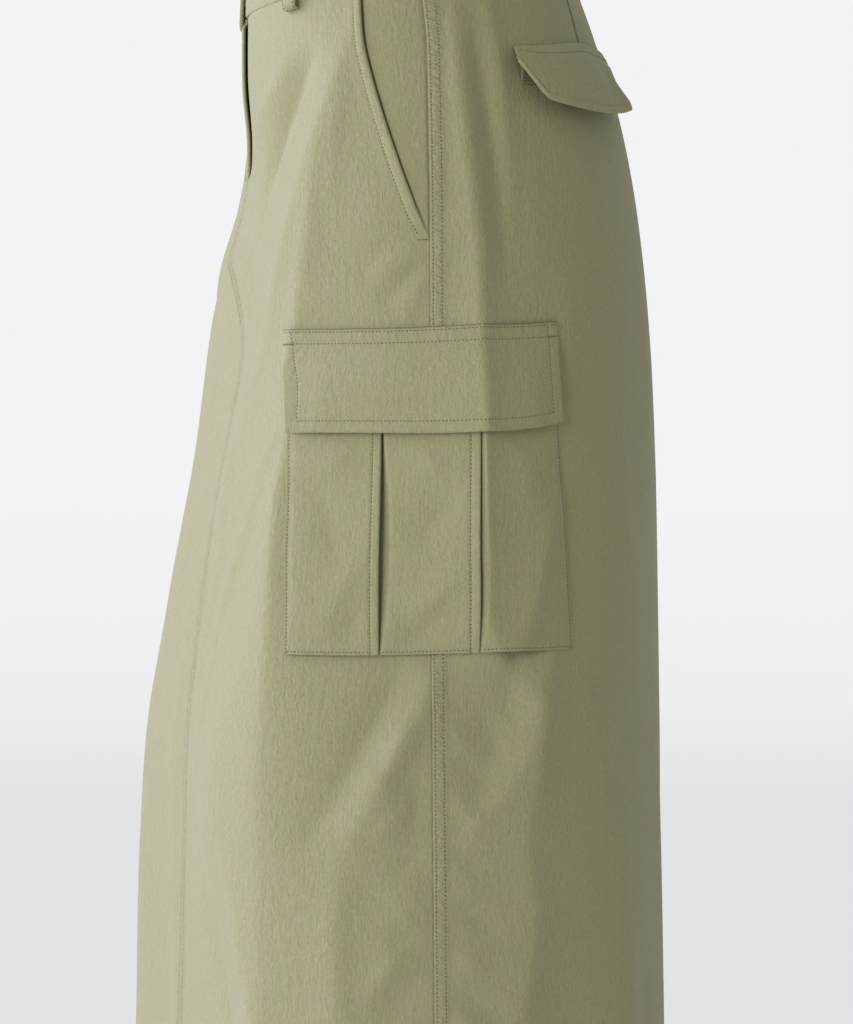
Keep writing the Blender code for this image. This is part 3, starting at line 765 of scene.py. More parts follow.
frontSeam = (  # level, distance of the centre-front seam to the wearer's left
    (0.030, 0.0000),
    (-0.128, 0.0000),
    (-0.146, -0.0030),
    (-0.165, -0.0065),
    (-0.180, -0.0050),
    (-0.193, 0.0080),
    (-0.208, 0.0240),
    (-0.232, 0.0440),
    (-0.252, 0.0470),
    (-0.272, 0.0415),
    (-0.300, 0.0370),
    (-0.400, 0.0360),
    (-0.500, 0.0440),
    (-0.640, 0.0420),
    (-0.960, 0.0400),
)
panels = {
    "thickness": 0.0008,
    "length": 0.936,  # along the cloth, with the hem's turn
    "rowStep": {1: 0.0030, -1: 0.0038},
    "columns": {1: 66, -1: 52},
    "steps": (0.9, 1.3, 1.8, 2.8, 4.0, 5.0, 5.7, 6.3, 7.0, 8.0, 10.0, 12.5, 15.0, 18.0),
    "rows": (1.3, 6.3),  # both rows of stitches of a felled seam, from its edge
    "seamOut": 0.004,
    "mouthEnd": -0.176,
    "mouth": (  # level, distance of the slanted opening from the side seam
        (-0.012, 0.0392), (-0.025, 0.0385), (-0.040, 0.0377), (-0.058, 0.0362), (-0.080, 0.0318),
        (-0.100, 0.0268), (-0.125, 0.0196), (-0.150, 0.0114), (-0.164, 0.0062), (-0.173, 0.0016),
        (-0.176, 0.0),
    ),
    "flyEnd": -0.125,
    "flyLap": 0.0040,
    "flyLift": 0.0006,
    "flySink": 0.0054,  # the left front's edge lies this much lower
    "frontDent": 0.0026,  # how far the fronts sink at the fly's end
    "hemDepth": 0.0200,
    "strip": 0.0007,  # height of the felled side seam
    "stripEdge": (0.0064, 0.0022),  # where it ends and over what width
    "centreEdge": (0.0066, 0.0020),  # the same for the felled centre seams
    "centreRaise": (0.0008, 0.0005),  # their height, front and back
    "lean": (0.0026, -0.068, 0.050),  # how far forward the side seam bears, from what level, over what height
    "narrowing": (0.36, -0.150, 0.150),  # the share by which the opening's stitched edge narrows there
    "bagTop": -0.262,  # the cargo pocket hides the seam's stitches from here to there
    "bagEnd": -0.404,
    # turned and tucked-under edges: millimetres past the edge and of lift
    "under": ((4.0, -1.3), (3.0, -1.3), (2.0, -1.3), (1.2, -1.2), (0.5, -0.9), (0.0, -0.6)),
    "mouthTurn": ((-9.0, -1.7), (-3.0, -1.7), (-0.85, -1.7), (-0.25, -1.45), (0.0, -0.85), (-0.25, -0.25)),
    "flyTurn": ((-10.0, -1.7), (-3.0, -1.7), (-0.85, -1.7), (-0.25, -1.45), (0.0, -0.85), (-0.25, -0.25)),
    "seamTurn": ((-3.0, -0.8), (-1.5, -0.8), (-0.40, -0.8), (-0.12, -0.68), (0.0, -0.40), (-0.12, -0.12)),
}
darts = {"top": (0.1085, -0.020), "low": (0.1160, -0.065), "end": -0.098, "depth": 0.0020, "width": 0.0009}


def seamAngle(level):
    # the centre-front seam's angle: its distance over the front's depth
    away = smoothRow(frontSeam, 1, level)
    return -math.pi / 2 + away / (outlineAt("front", level) + panels["seamOut"])


def mouthArc(level):
    # the slanted opening's distance from the side seam
    return smoothRow(panels["mouth"], 1, np.clip(level, panels["mouthEnd"], form["bandSeam"]))


def sideLean(level):
    # the felled side seam bears a little forward at its top
    forward, start, length = panels["lean"]
    return forward * ramp(level, start, length)


def mouthNarrow(level):
    # the stitched edge of the opening narrows upward
    share, start, length = panels["narrowing"]
    return 1 - share * ramp(level, start, length)


def panelRows(side):
    # levels of a panel's rows and their lift: tucked under the band above, turned up inside at the hem
    top, hem = form["bandSeam"], form["hem"]
    count = int((top - hem) / panels["rowStep"][side])
    inner = hem + panels["hemDepth"] + 0.001
    level = np.concatenate([
        [top + 0.004, top + 0.0015, top + 0.0002, top - 0.0008],
        np.linspace(top - 0.002, hem + 0.001, count),
        [hem + 0.0003, hem, hem + 0.0003, hem + 0.001, (hem + inner) / 2, inner],
    ])
    lift = np.zeros(len(level))
    lift[:4] = (-0.0020, -0.0018, -0.0007, -0.0001)
    lift[-6:] = (-0.0001, -0.0005, -0.0009, -0.0010, -0.0010, -0.0010)
    return level[:, None], lift[:, None]


def edgeColumns(edge, way, closed, opened=None, share=0.0):
    # columns past an edge and their lifts, in rows blended from the closed to the opened profile
    closed = np.array(closed)[None] / 1000
    opened = closed if opened is None else np.array(opened)[None] / 1000
    profile = closed + (opened - closed) * np.broadcast_to(share, edge.shape)[..., None]
    return edge + way * profile[..., 0], profile[..., 1]


def groove(away, at, depth=0.0003, width=0.0007):
    # the dent that a row of stitches pulls into the cloth
    return -depth * bell(away - at, width)


def seamGrooves(away):
    return sum(groove(away, row / 1000) for row in panels["rows"])


def felledRaise(away, height, dents=1):
    # the felled seam's raised edge, and the dents along its two rows of stitches
    return height * (1 - ramp(away, *panels["centreEdge"])) + dents * seamGrooves(away)


def seamPuckers(away):
    # how much the cloth between a felled seam's rows is wrinkled
    return ramp(away, 0.0004, 0.001) * (1 - ramp(away, 0.0060, 0.0022))


def flyRise(fromCentre, level):
    # the right front's edge stands off over the fly
    freed = 1 - ease((panels["flyEnd"] + 0.006 - level) / 0.012)
    return panels["flyLift"] * freed * bell(fromCentre, 0.014)


def frontDent(fromCentre, level):
    # the front sinks at the fly's end, and more broadly below the thighs' fullest part
    low = 0.0028 * ease((-0.355 - level) / 0.080) * bell(fromCentre, 0.150)
    return -panels["frontDent"] * bell(level + 0.142, 0.030) * bell(fromCentre, 0.050) - low


def hemRun(level):
    # the run of the hem's stitches, short of the panel's edges
    return int(np.abs(level[:-6, 0] - form["hem"] - panels["hemDepth"]).argmin()), slice(5, -5)


def hemLift(level):
    # the doubled hem is a little proud, with a dent along its stitches
    above = level - form["hem"]
    proud = 0.0003 * (1 - ramp(above, panels["hemDepth"], 0.003))
    return proud + groove(above, panels["hemDepth"], 0.0003, 0.0016)


def hemPuckers(level):
    return 0.35 * bell(level - form["hem"] - panels["hemDepth"], 0.004)


def rowsBetween(level, low, high):
    # a panel's rows between two levels, without those that the hem turns up
    inside = np.nonzero((level[:-6, 0] > low) & (level[:-6, 0] < high))[0]
    return slice(inside[0], inside[-1] + 1)


def joinColumns(first, inner, last):
    # both edges' columns and lifts with flat columns between them
    arc = np.concatenate([first[0], *inner, last[0][:, ::-1]], axis=1)
    flat = np.zeros((len(arc), arc.shape[1] - first[0].shape[1] - last[0].shape[1]))
    return arc, np.concatenate([first[1], flat, last[1][:, ::-1]], axis=1)


def makePanel(kind, side, points, arc, level, corner, pucker, deep):
    # the panel's width is its row above the hem's turn
    flat = (round(float(np.ptp(arc[-8])), 3), panels["length"])
    uv = (arc, level, corner + side, 0)
    sheet(named(kind, side), points, uv, panels["thickness"], flat, pucker=pucker, deep=deep)


def frontPanel(side):
    # from the side seam or the pocket's opening to the fly's edge and the centre-front seam
    level, rowLift = panelRows(side)
    steps = np.array(panels["steps"])[None, :] / 1000
    centre = arcMaps[side].arcAt(-math.pi / 2, level)
    inFly = ramp(level, panels["flyEnd"], 0.004)
    flyEdge = centre + 0.0003 if side > 0 else centre - panels["flyLap"]
    seam = arcMaps[side].arcAt(seamAngle(level), level)
    end = seam + (flyEdge - seam) * inFly
    start = -mouthArc(level)
    opened = ramp(level, panels["mouthEnd"], 0.016)
    first = edgeColumns(start, 1, panels["under"], panels["mouthTurn"], opened)
    closed, turned = ("seamTurn", "seamTurn") if side > 0 else ("under", "flyTurn")
    last = edgeColumns(end, -1, panels[closed], panels[turned], inFly)
    near, far = start - steps * mouthNarrow(level), end + steps[:, ::-1]
    middle = near[:, -1:] + (far[:, :1] - near[:, -1:]) * shares(panels["columns"][side])[:, :-1]
    arc, lift = joinColumns(first, (near, middle, far), last)
    fromSide, fromCentre = np.maximum(start - arc, 0), np.maximum(arc - end, 0)
    lift = lift + rowLift + hemLift(level) + frontDent(fromCentre, level)
    fromMouth = fromSide / mouthNarrow(level)
    lift = lift + opened * (0.0020 * bell(fromSide, 0.006) + groove(fromMouth, 0.0063, 0.0004, 0.0009))
    pucker = 0.5 * opened * seamPuckers(fromMouth) + hemPuckers(level)
    # painted shade on the turned edges of the slanted opening and the fly
    deep = np.zeros_like(arc)
    deep[:, :4] = 0.8 * opened
    deep[:, -4:] = 0.8 * inFly
    mouthRows = rowsBetween(level, panels["mouthEnd"] - 0.002, form["bandSeam"] - 0.001)
    runs = [(mouthRows, 6 + panels["steps"].index(panels["rows"][1]))]
    if side > 0:  # the left front bears the felled centre seam, and its fly edge lies under the right one's
        lift = lift + (1 - inFly) * felledRaise(fromCentre, panels["centreRaise"][0], 2)
        sunk = ramp(level - panels["flyEnd"], -0.012, 0.040) * (0.80 + 0.35 * ramp(level, -0.110, 0.070))
        lift = lift - panels["flySink"] * sunk * bell(fromCentre, 0.020)
        pucker = pucker + 1.3 * (1 - inFly) * seamPuckers(fromCentre)
        # a painted shadow line along the edge at the centre-front seam
        shade = 0.25 + 0.35 * ramp(level, -0.300, 0.080)
        deep = deep + shade * (1 - inFly) * bell(fromCentre, 0.0008)
        below = rowsBetween(level, form["hem"] - 1, panels["flyEnd"] - 0.003)
        runs += [(below, -7 - panels["steps"].index(at)) for at in panels["rows"]]
    else:
        lift = lift + flyRise(fromCentre, level)
    points = place(side, arc, level, lift)
    makePanel("front", side, points, arc, level, 3, pucker, deep)
    group = named("front_stitches", side)
    keepRuns(group, points, panels["thickness"], [*runs, hemRun(level)])
    tack, tackLevel = np.linspace(-0.0078, -0.0008, 8), panels["mouthEnd"] - 0.0016
    keepStitchesOn(group, side, tack, tackLevel, 0.0, panels["thickness"], stitching["tackPitch"])


def flyStitches():
    # the fly's topstitch on the right front: straight down, then round to the fly's end
    bend, width, turn = -0.096, 0.031, np.linspace(0.1, 1.5, 12)
    level = np.concatenate([np.linspace(form["bandSeam"] - 0.002, bend, 24), bend - 0.028 * np.sin(turn)])
    away = np.concatenate([np.full(24, width), width * np.cos(turn)])
    arc = arcMaps[-1].arcAt(-math.pi / 2, level) - panels["flyLap"] + away
    lift = flyRise(away, level) + frontDent(away, level)
    keepStitchesOn("front_stitches_right", -1, arc, level, lift, panels["thickness"])


def backPanel(side):
    # from the side seam, whose felled edge is raised, past the dart to the centre back
    level, rowLift = panelRows(side)
    steps = np.array(panels["steps"])[None, :] / 1000
    end = arcMaps[side].arcAt(math.pi / 2, level)
    start = 0.0002 - sideLean(level)
    first = edgeColumns(start, -1, panels["seamTurn"])
    last = edgeColumns(end, 1, panels["seamTurn" if side > 0 else "under"])
    near, far = start + steps, end - steps[:, ::-1]
    (topArc, topLevel), (lowArc, lowLevel) = darts["top"], darts["low"]
    dart = topArc + (lowArc - topArc) * np.clip((topLevel - level) / (topLevel - lowLevel), 0, 1)
    spread = np.array([-2.6, -1.5, -0.8, -0.4, 0, 0.4, 0.8, 1.5, 2.6])[None, :] / 1000
    within = shares(panels["columns"][side] // 2)[:, :-1]
    before = near[:, -1:] + (dart + spread[:, :1] - near[:, -1:]) * within
    after = dart + spread[:, -1:] + (far[:, :1] - dart - spread[:, -1:]) * within
    arc, lift = joinColumns(first, (near, before, dart + spread, after, far), last)
    fromSide, fromCentre = np.maximum(arc - start, 0), np.maximum(end - arc, 0)
    lift = lift + rowLift + hemLift(level)
    lift = lift + panels["strip"] * (1 - ramp(fromSide, *panels["stripEdge"])) + seamGrooves(fromSide)
    pucker = seamPuckers(fromSide) * (1.5 - 0.5 * ease((panels["bagTop"] - level) / 0.05)) + hemPuckers(level)
    seamTop, nowhere = form["bandSeam"] - 0.001, form["hem"] - 1
    above = rowsBetween(level, panels["bagTop"], seamTop)
    below = rowsBetween(level, nowhere, panels["bagEnd"])
    whole = rowsBetween(level, nowhere, seamTop)
    runs = []
    for at in [panels["steps"].index(row) for row in panels["rows"]]:
        runs += [(above, 6 + at), (below, 6 + at)]
        if side > 0:  # the centre-back seam is felled to the left
            runs.append((whole, -7 - at))
    if side > 0:
        lift = lift + felledRaise(fromCentre, panels["centreRaise"][1])
        pucker = pucker + 0.8 * seamPuckers(fromCentre)
    sewn = ramp(level, darts["end"], 0.03)
    dent = 0.0005 * bell(arc - dart, 0.004) - darts["depth"] * bell(arc - dart, darts["width"])
    lift = lift + sewn * dent
    points = place(side, arc, level, lift)
    # painted shade along the dart's fold
    makePanel("back", side, points, arc, level, 6, pucker, 1.5 * sewn * bell(arc - dart, 0.0010))
    keepRuns(named("back_stitches", side), points, panels["thickness"], [*runs, hemRun(level)])


for side in (1, -1):
    frontPanel(side)
    backPanel(side)
flyStitches()
print("skirt: panels ready")

facing = {
    "thickness": 0.0008, "flat": (0.064, 0.165), "under": 0.0011, "slotDepth": 0.0014, "slotEnd": 0.0002,
    "slotFade": 0.0022,
}


def sideFacing(side):
    # behind the slanted opening: from under the felled seam, with a hollow along the opening
    level = np.linspace(form["bandSeam"] + 0.003, panels["mouthEnd"] - 0.006, 70)[:, None]
    mouth = mouthArc(level)
    start = -0.0045 + sideLean(level)
    share = np.linspace(0, 1, 64)[None, :]
    arc = start + (mouth + 0.020 - start) * share
    inside = arc - mouth
    narrow = 0.25 + 0.75 * ease((form["bandSeam"] + 0.004 - level) / 0.022)
    narrow = narrow * (0.25 + 0.75 * ramp(level - panels["mouthEnd"], 0.012, 0.060))
    hollow = 1 - ease((-inside - facing["slotEnd"] * narrow) / facing["slotFade"])
    grown = ramp(level, panels["mouthEnd"], 0.03)
    lift = -facing["under"] + 0.0009 * ramp(arc - sideLean(level), 0.0003, 0.0016)
    lift = lift - facing["slotDepth"] * grown * hollow
    lift = lift - 0.0014 * ramp(level - form["bandSeam"], -0.002, 0.002)
    points = place(side, -arc, level, lift)
    # painted shade in the hollow under the opening's edge
    deep = 0.45 * hollow**2 * grown * (0.5 + 0.5 * narrow)
    uv = (-arc, level, 10 + side, 0)
    sheet(named("side_facing", side), points, uv, facing["thickness"], facing["flat"], deep=deep)


for side in (1, -1):
    sideFacing(side)

fly = {
    "thickness": 0.0008, "coilThickness": 0.0012, "coilAt": -0.0052, "coilPitch": 0.0014,
    "dropAt": (-0.0045, 0.0040),  # where the tape begins to drop and over what width
    "tape": {"start": -0.0140, "end": 0.0120, "lift": -0.0017, "drop": 0.0030, "flat": (0.027, 0.107)},
    "shield": {"start": -0.0340, "end": 0.0140, "lift": -0.0062, "drop": 0.0, "flat": (0.050, 0.107)},
}


def flyStrip(node, surfaceMaterial, start, end, lift, drop, flat):
    # a strip beside the centre front, which drops where it goes under the left front's edge
    level = np.linspace(form["bandSeam"] + 0.002, panels["flyEnd"] + 0.004, 60)[:, None]
    away = np.linspace(start, end, 30)[None, :]
    coil = int(np.abs(away - fly["coilAt"]).argmin())
    angle = -math.pi / 2 + away / outlineAt("front", level)
    lift = lift - drop * ramp(away, *fly["dropAt"]) + 0 * level
    normal = outward(angle, level)
    points = surface(angle, level) + normal * lift[..., None]
    # painted shade over the whole strip, in the gap under the fly's edge
    sheet(node, points, (away, level, 12, 0), fly["thickness"], flat, surfaceMaterial, deep=0.3)
    return points[3:, coil], normal[3:, coil]


coilPath = flyStrip("zip_tape", zipCloth, **fly["tape"])
flyStrip("fly_shield", cloth, **fly["shield"])
keepStitches("zip_coil", *coilPath, fly["coilThickness"], fly["coilPitch"])
makeStitches("zip_coil", zipNylon)
for side in (1, -1):
    makeStitches(named("front_stitches", side))
    makeStitches(named("back_stitches", side))
for node in ("zip_slider", "waist_hook"):
    bpy.data.objects[node].material_slots[0].material = metal

band = {
    "thickness": 0.0022, "flat": (0.800, 0.040), "underEnd": 0.034, "overEnd": 0.0040, "over": 0.0016,
    "under": 0.0068, "columns": 380, "ripple": 0.00018,
    "overRamp": (0.070, 0.032),  # how far from its end the right end rises and over what length
    "underRamp": 0.026,
}


def waistband():
    # the surface at the waist's levels; near the centre front its right end rises over its sunk left end
    radius = outlineAt("front", 0.0)
    start = -math.pi / 2 - band["underEnd"] / radius
    end = 3 * math.pi / 2 + band["overEnd"] / radius
    edge = np.array([0, 0.0003, 0.0007, 0.0012, 0.0020])
    angle = np.concatenate([
        start + edge / radius,
        np.linspace(start + 0.004 / radius, end - 0.004 / radius, band["columns"]),
        end - edge[::-1] / radius,
    ])[None, :]
    height = form["bandTop"] - form["bandSeam"]
    low = np.array([0, 0.0003, 0.0007, 0.0012, 0.0020, 0.0035, 0.007, 0.012])
    rise = np.concatenate([low, [0.020, 0.028], height - low[:-1][::-1]])
    level = form["bandSeam"] + rise[::-1][:, None]
    fromLeft = (angle + math.pi / 2) * radius
    fromRight = (3 * math.pi / 2 - angle) * radius
    far, length = band["overRamp"]
    lift = band["over"] * ease((far - fromRight) / length)
    lift = lift - band["under"] * ease((band["underRamp"] - fromLeft) / band["underRamp"])
    fromEdge = np.minimum(rise, height - rise)[::-1][:, None]
    lift = lift - 0.0004 - 0.0003 * np.exp(-fromEdge / 0.0008)
    lift = lift + 0.0005 * np.sin(angle * 9 + 1) * ramp(level, -0.02, 0.03)
    ripple = np.sin(angle * 61 + 3 * np.sin(angle * 7)) * np.sin(angle * 23 + 2)
    lift = lift + band["ripple"] * ripple * bell(level - form["bandSeam"] - 0.003, 0.006)
    normal = outward(angle, level)
    points = surface(angle, level) + normal * np.broadcast_to(lift, normal.shape[:-1])[..., None]
    pucker = 0.25 + 0.5 * bell(level - form["bandSeam"], 0.004)
    sheet("waistband", points, (level, angle * radius, 14, 0), band["thickness"], band["flat"], pucker=pucker)


waistband()

loops = {
    "angles": (-37.1, 35.0, 90.0, 145.0, 218.0),
    "width": 0.0100,
    "thickness": 0.0014,
    "flat": (0.010, 0.056),
    "profile": (  # level, lift in millimetres
        (19.8, 1.6), (18.8, 3.0), (17.0, 3.5), (12.0, 4.4), (4.0, 4.9), (-4.0, 4.9),
        (-12.0, 5.0), (-18.0, 5.2), (-23.5, 5.2), (-27.0, 4.6), (-28.6, 3.2), (-28.4, 1.8),
    ),
}


def beltLoop(number, angle):
    # the profile carried across the loop's width, with a slight crown
    path = throughPoints(loops["profile"], 44) / 1000
    level, lift = path[:, :1], path[:, 1:]
    centre = math.radians(angle)
    radius = np.linalg.norm(surface(centre, 0.0)[:2])
    share = np.array([-0.5, -0.46, -0.40, -0.33, -0.2, 0, 0.2, 0.33, 0.40, 0.46, 0.5])[None, :]
    across = centre + share * loops["width"] / radius
    lift = lift + 0.0004 * (1 - (2 * share) ** 2) - 0.0004 * np.maximum(np.abs(share) - 0.4, 0) / 0.1
    normal = outward(across + 0 * level, level + 0 * across)
    points = surface(across, level) + normal * lift[..., None]
    uv = (share * loops["width"], level + lift, 16, number)
    sheet(f"belt_loop_{number}", points, uv, loops["thickness"], loops["flat"], pucker=0.3)
    keepRuns("belt_loop_stitches", points, loops["thickness"], [(slice(2, -3), 2), (slice(2, -3), 8)])


for number, angle in enumerate(loops["angles"], 1):
    beltLoop(number, angle)
makeStitches("belt_loop_stitches")
print("skirt: waistband and fly ready")

cargo = {
    "top": -0.2278,
    "topRise": 0.0046,
    "rise": 0.0065,
    "sag": (0.002, 0.0045),
    "flapDepth": 0.0596,
    "flapEnds": ((-0.0980, 0.0752), (-0.0878, 0.0756)),
    "flapThickness": 0.0016,
    "flapFlat": (0.172, 0.0605),
    "flapStand": 0.0070,  # how far it stands off, from this depth on and over this height
    "standRamp": (0.0040, 0.0340),
    "straight": (0.90, 0.45),  # how much the ends move inward as it stands off, front and back
    "endRow": 0.0064,  # from the flap's edge to its outer row of stitches
    "bottom": -0.4135,
    "bagEnds": ((-0.0915, 0.0735), (-0.0885, 0.0866)),
    "bagThickness": 0.0008,
    "bagFlat": (0.212, 0.168),
    "tucks": (-0.0319, 0.0248),
    "tuckDepth": 0.0090,
    # painted shade inside the tucks' folds and slots
    "tuckShade": 0.4,
    "fromLip": (0.76, 0.66),  # how near the stitch rows are to both tucks' edges, as shares of 5.8 mm
    "slots": (  # share of the bag's height, then millimetres that each tuck gapes and its edge stands off
        (0.00, 0.6, 0.3, 0.5, 0.2),
        (0.25, 0.8, 1.0, 0.7, 0.6),
        (0.36, 1.8, 1.4, 1.0, 0.8),
        (0.50, 3.3, 2.0, 1.5, 1.1),
        (0.65, 3.8, 2.2, 2.0, 1.3),
        (0.80, 3.3, 1.7, 2.2, 1.2),
        (0.93, 1.6, 0.8, 1.1, 0.6),
        (1.00, 0.5, 0.0, 0.4, 0.0),
    ),
}


def between(ends, fall, share):
    # arcs of a patch whose front and back edge lean from their upper to their lower place
    front = ends[0][0] + (ends[1][0] - ends[0][0]) * fall
    back = ends[0][1] + (ends[1][1] - ends[0][1]) * fall
    return front + (back - front) * share


def downTable(table, column, fall):
    # a smooth curve through a table whose first column goes from 0 to 1
    rows = np.array(table)
    return smoothRow(np.stack([-rows[:, 0], rows[:, column]], -1), 1, -fall)


def cargoBag(side):
    # columns run from the front edge over both z-folds to the back edge; at each fold a rounded lip, a layer
    # back to a rounded root and a layer out again, whose slot beside the lip is as wide as the table says
    top = cargo["top"] - 0.018
    height = top - cargo["bottom"]
    ends = height - np.array([0.0045, 0.0032, 0.0024, 0.0019, 0.0016, 0.0013, 0.0010, 0.0006, 0.0003, 0])
    rows = np.concatenate([np.linspace(0, height - 0.006, 84), ends])
    fall = (rows / height)[:, None]
    puffed = 1 - ramp(fall, 0.86, 0.14)
    low = 0.0009
    turn = 0.00045 + 0.00024 * puffed * ramp(fall, -0.02, 0.20)
    front = between(cargo["bagEnds"], fall, 0)
    back = between(cargo["bagEnds"], fall, 1)
    lip = low + 4 * turn
    face = lip + 0.0012 * puffed * np.sin(math.pi * fall) ** 0.5
    arcs, lifts, paintedShades, sewn = [], [], [], []

    def add(arc, lift, deep=0.0):
        arc, lift = np.broadcast_arrays(arc, lift)
        arcs.append(arc)
        lifts.append(lift)
        paintedShades.append(np.broadcast_to(deep, arc.shape))

    edge = np.array([0, 0.0003, 0.0007, 0.0011, 0.0014, 0.0017, 0.0022, 0.0030])[None, :]
    edgeLift = low + groove(edge, 0.0014) + 0.18 * (lip - low) * ease(edge / 0.003)
    starts = front + 0.003
    add(front + edge, edgeLift)
    for number, at in enumerate(cargo["tucks"]):
        slot, stand = (downTable(cargo["slots"], column + 2 * number, fall) / 1000 for column in (1, 2))
        lipArc = at + 0.0006 * np.sin(5 * fall + number) + 0.0012 * number * fall
        narrow = cargo["fromLip"][number]
        offsets = np.array([7.6, 6.8, 6.3, 5.8, 5.3, 4.8, 4.0, 3.0, 2.0, 1.0, 0.5, 0]) / 1000
        lipCentre, lipTop = lipArc - turn, lip + stand
        reach = lipCentre - 0.0085 * narrow - starts
        before = starts + reach * shares(34 - 10 * number)
        arc = np.concatenate([before, lipCentre - narrow * offsets], axis=1)
        sewn.append(sum(part.shape[1] for part in arcs) + arc.shape[1] - 9)
        fromLip = lipCentre - arc
        base = face if number else low + (face - low) * (1 - np.exp(-(arc - front) / 0.010))
        rise = (lipTop - face) * bell(fromLip, 0.010 if number else 0.012)
        add(arc, base + rise + groove(fromLip, 0.0058 * narrow, 0.0005, 0.0009))
        around = np.radians([60, 30, 0, -30, -60, -90])[None, :]
        add(lipCentre + turn * np.cos(around), lipTop - turn + turn * np.sin(around))
        root = lipArc - cargo["tuckDepth"]
        inner = shares(5)
        sink = (low + 4 * turn - lipTop) * inner
        # the inner layers and the slot beside each lip get painted shade
        add(lipCentre + (root - lipCentre) * inner, lipTop - 2 * turn + sink, cargo["tuckShade"])
        around = np.radians([120, 150, 180, 210, 240, 270])[None, :]
        add(root + turn * np.cos(around), low + turn + turn * np.sin(around), cargo["tuckShade"])
        slotArc = lipArc + 0.35 * slot
        add(root + (slotArc - root) * shares(9), low, cargo["tuckShade"])
        climb = shares(11)
        width = 0.0014 + 1.7 * slot
        shade = cargo["tuckShade"] * np.clip(slot / 0.004, 0, 1) * (1 - ease(climb * 1.3))
        add(slotArc + width * climb, low + (face - low) * ease(climb) ** 0.8, shade)
        starts = slotArc + width
    arc = starts + (back - 0.003 - starts) * shares(30)
    add(arc, low + (face - low) * (1 - np.exp(-(back - arc) / 0.010)))
    add(back - edge[:, ::-1], edgeLift[:, ::-1])
    arc, lift, deep = (np.concatenate(parts, axis=1) for parts in (arcs, lifts, paintedShades))
    fromBottom = (height - rows)[:, None]
    lift = lift + groove(fromBottom, 0.0016)
    across = (arc - front) / (back - front)
    level = top - rows[:, None] + cargo["rise"] * (1 - 0.5 * fall) * across
    points = place(side, arc, level, lift, ("broad", "bag"))
    pucker = 0.3 * (bell(fromBottom, 0.004) + bell(arc - front, 0.004) + bell(back - arc, 0.004))
    uv, thickness = (arc, level, 20 + side, 0), cargo["bagThickness"]
    sheet(named("cargo_pocket", side), points, uv, thickness, cargo["bagFlat"], pucker=pucker, deep=deep)
    group = named("cargo_pocket_stitches", side)
    runs = [(slice(None), column) for column in (4, -5, *sewn)]
    outer = ((3, sewn[0] + 4), (sewn[0] + 40, sewn[1] + 4), (sewn[1] + 40, arc.shape[1] - 3))
    runs += [(len(rows) - 6, slice(first, last)) for first, last in outer]
    keepRuns(group, points, thickness, runs)
    makeStitches(group)


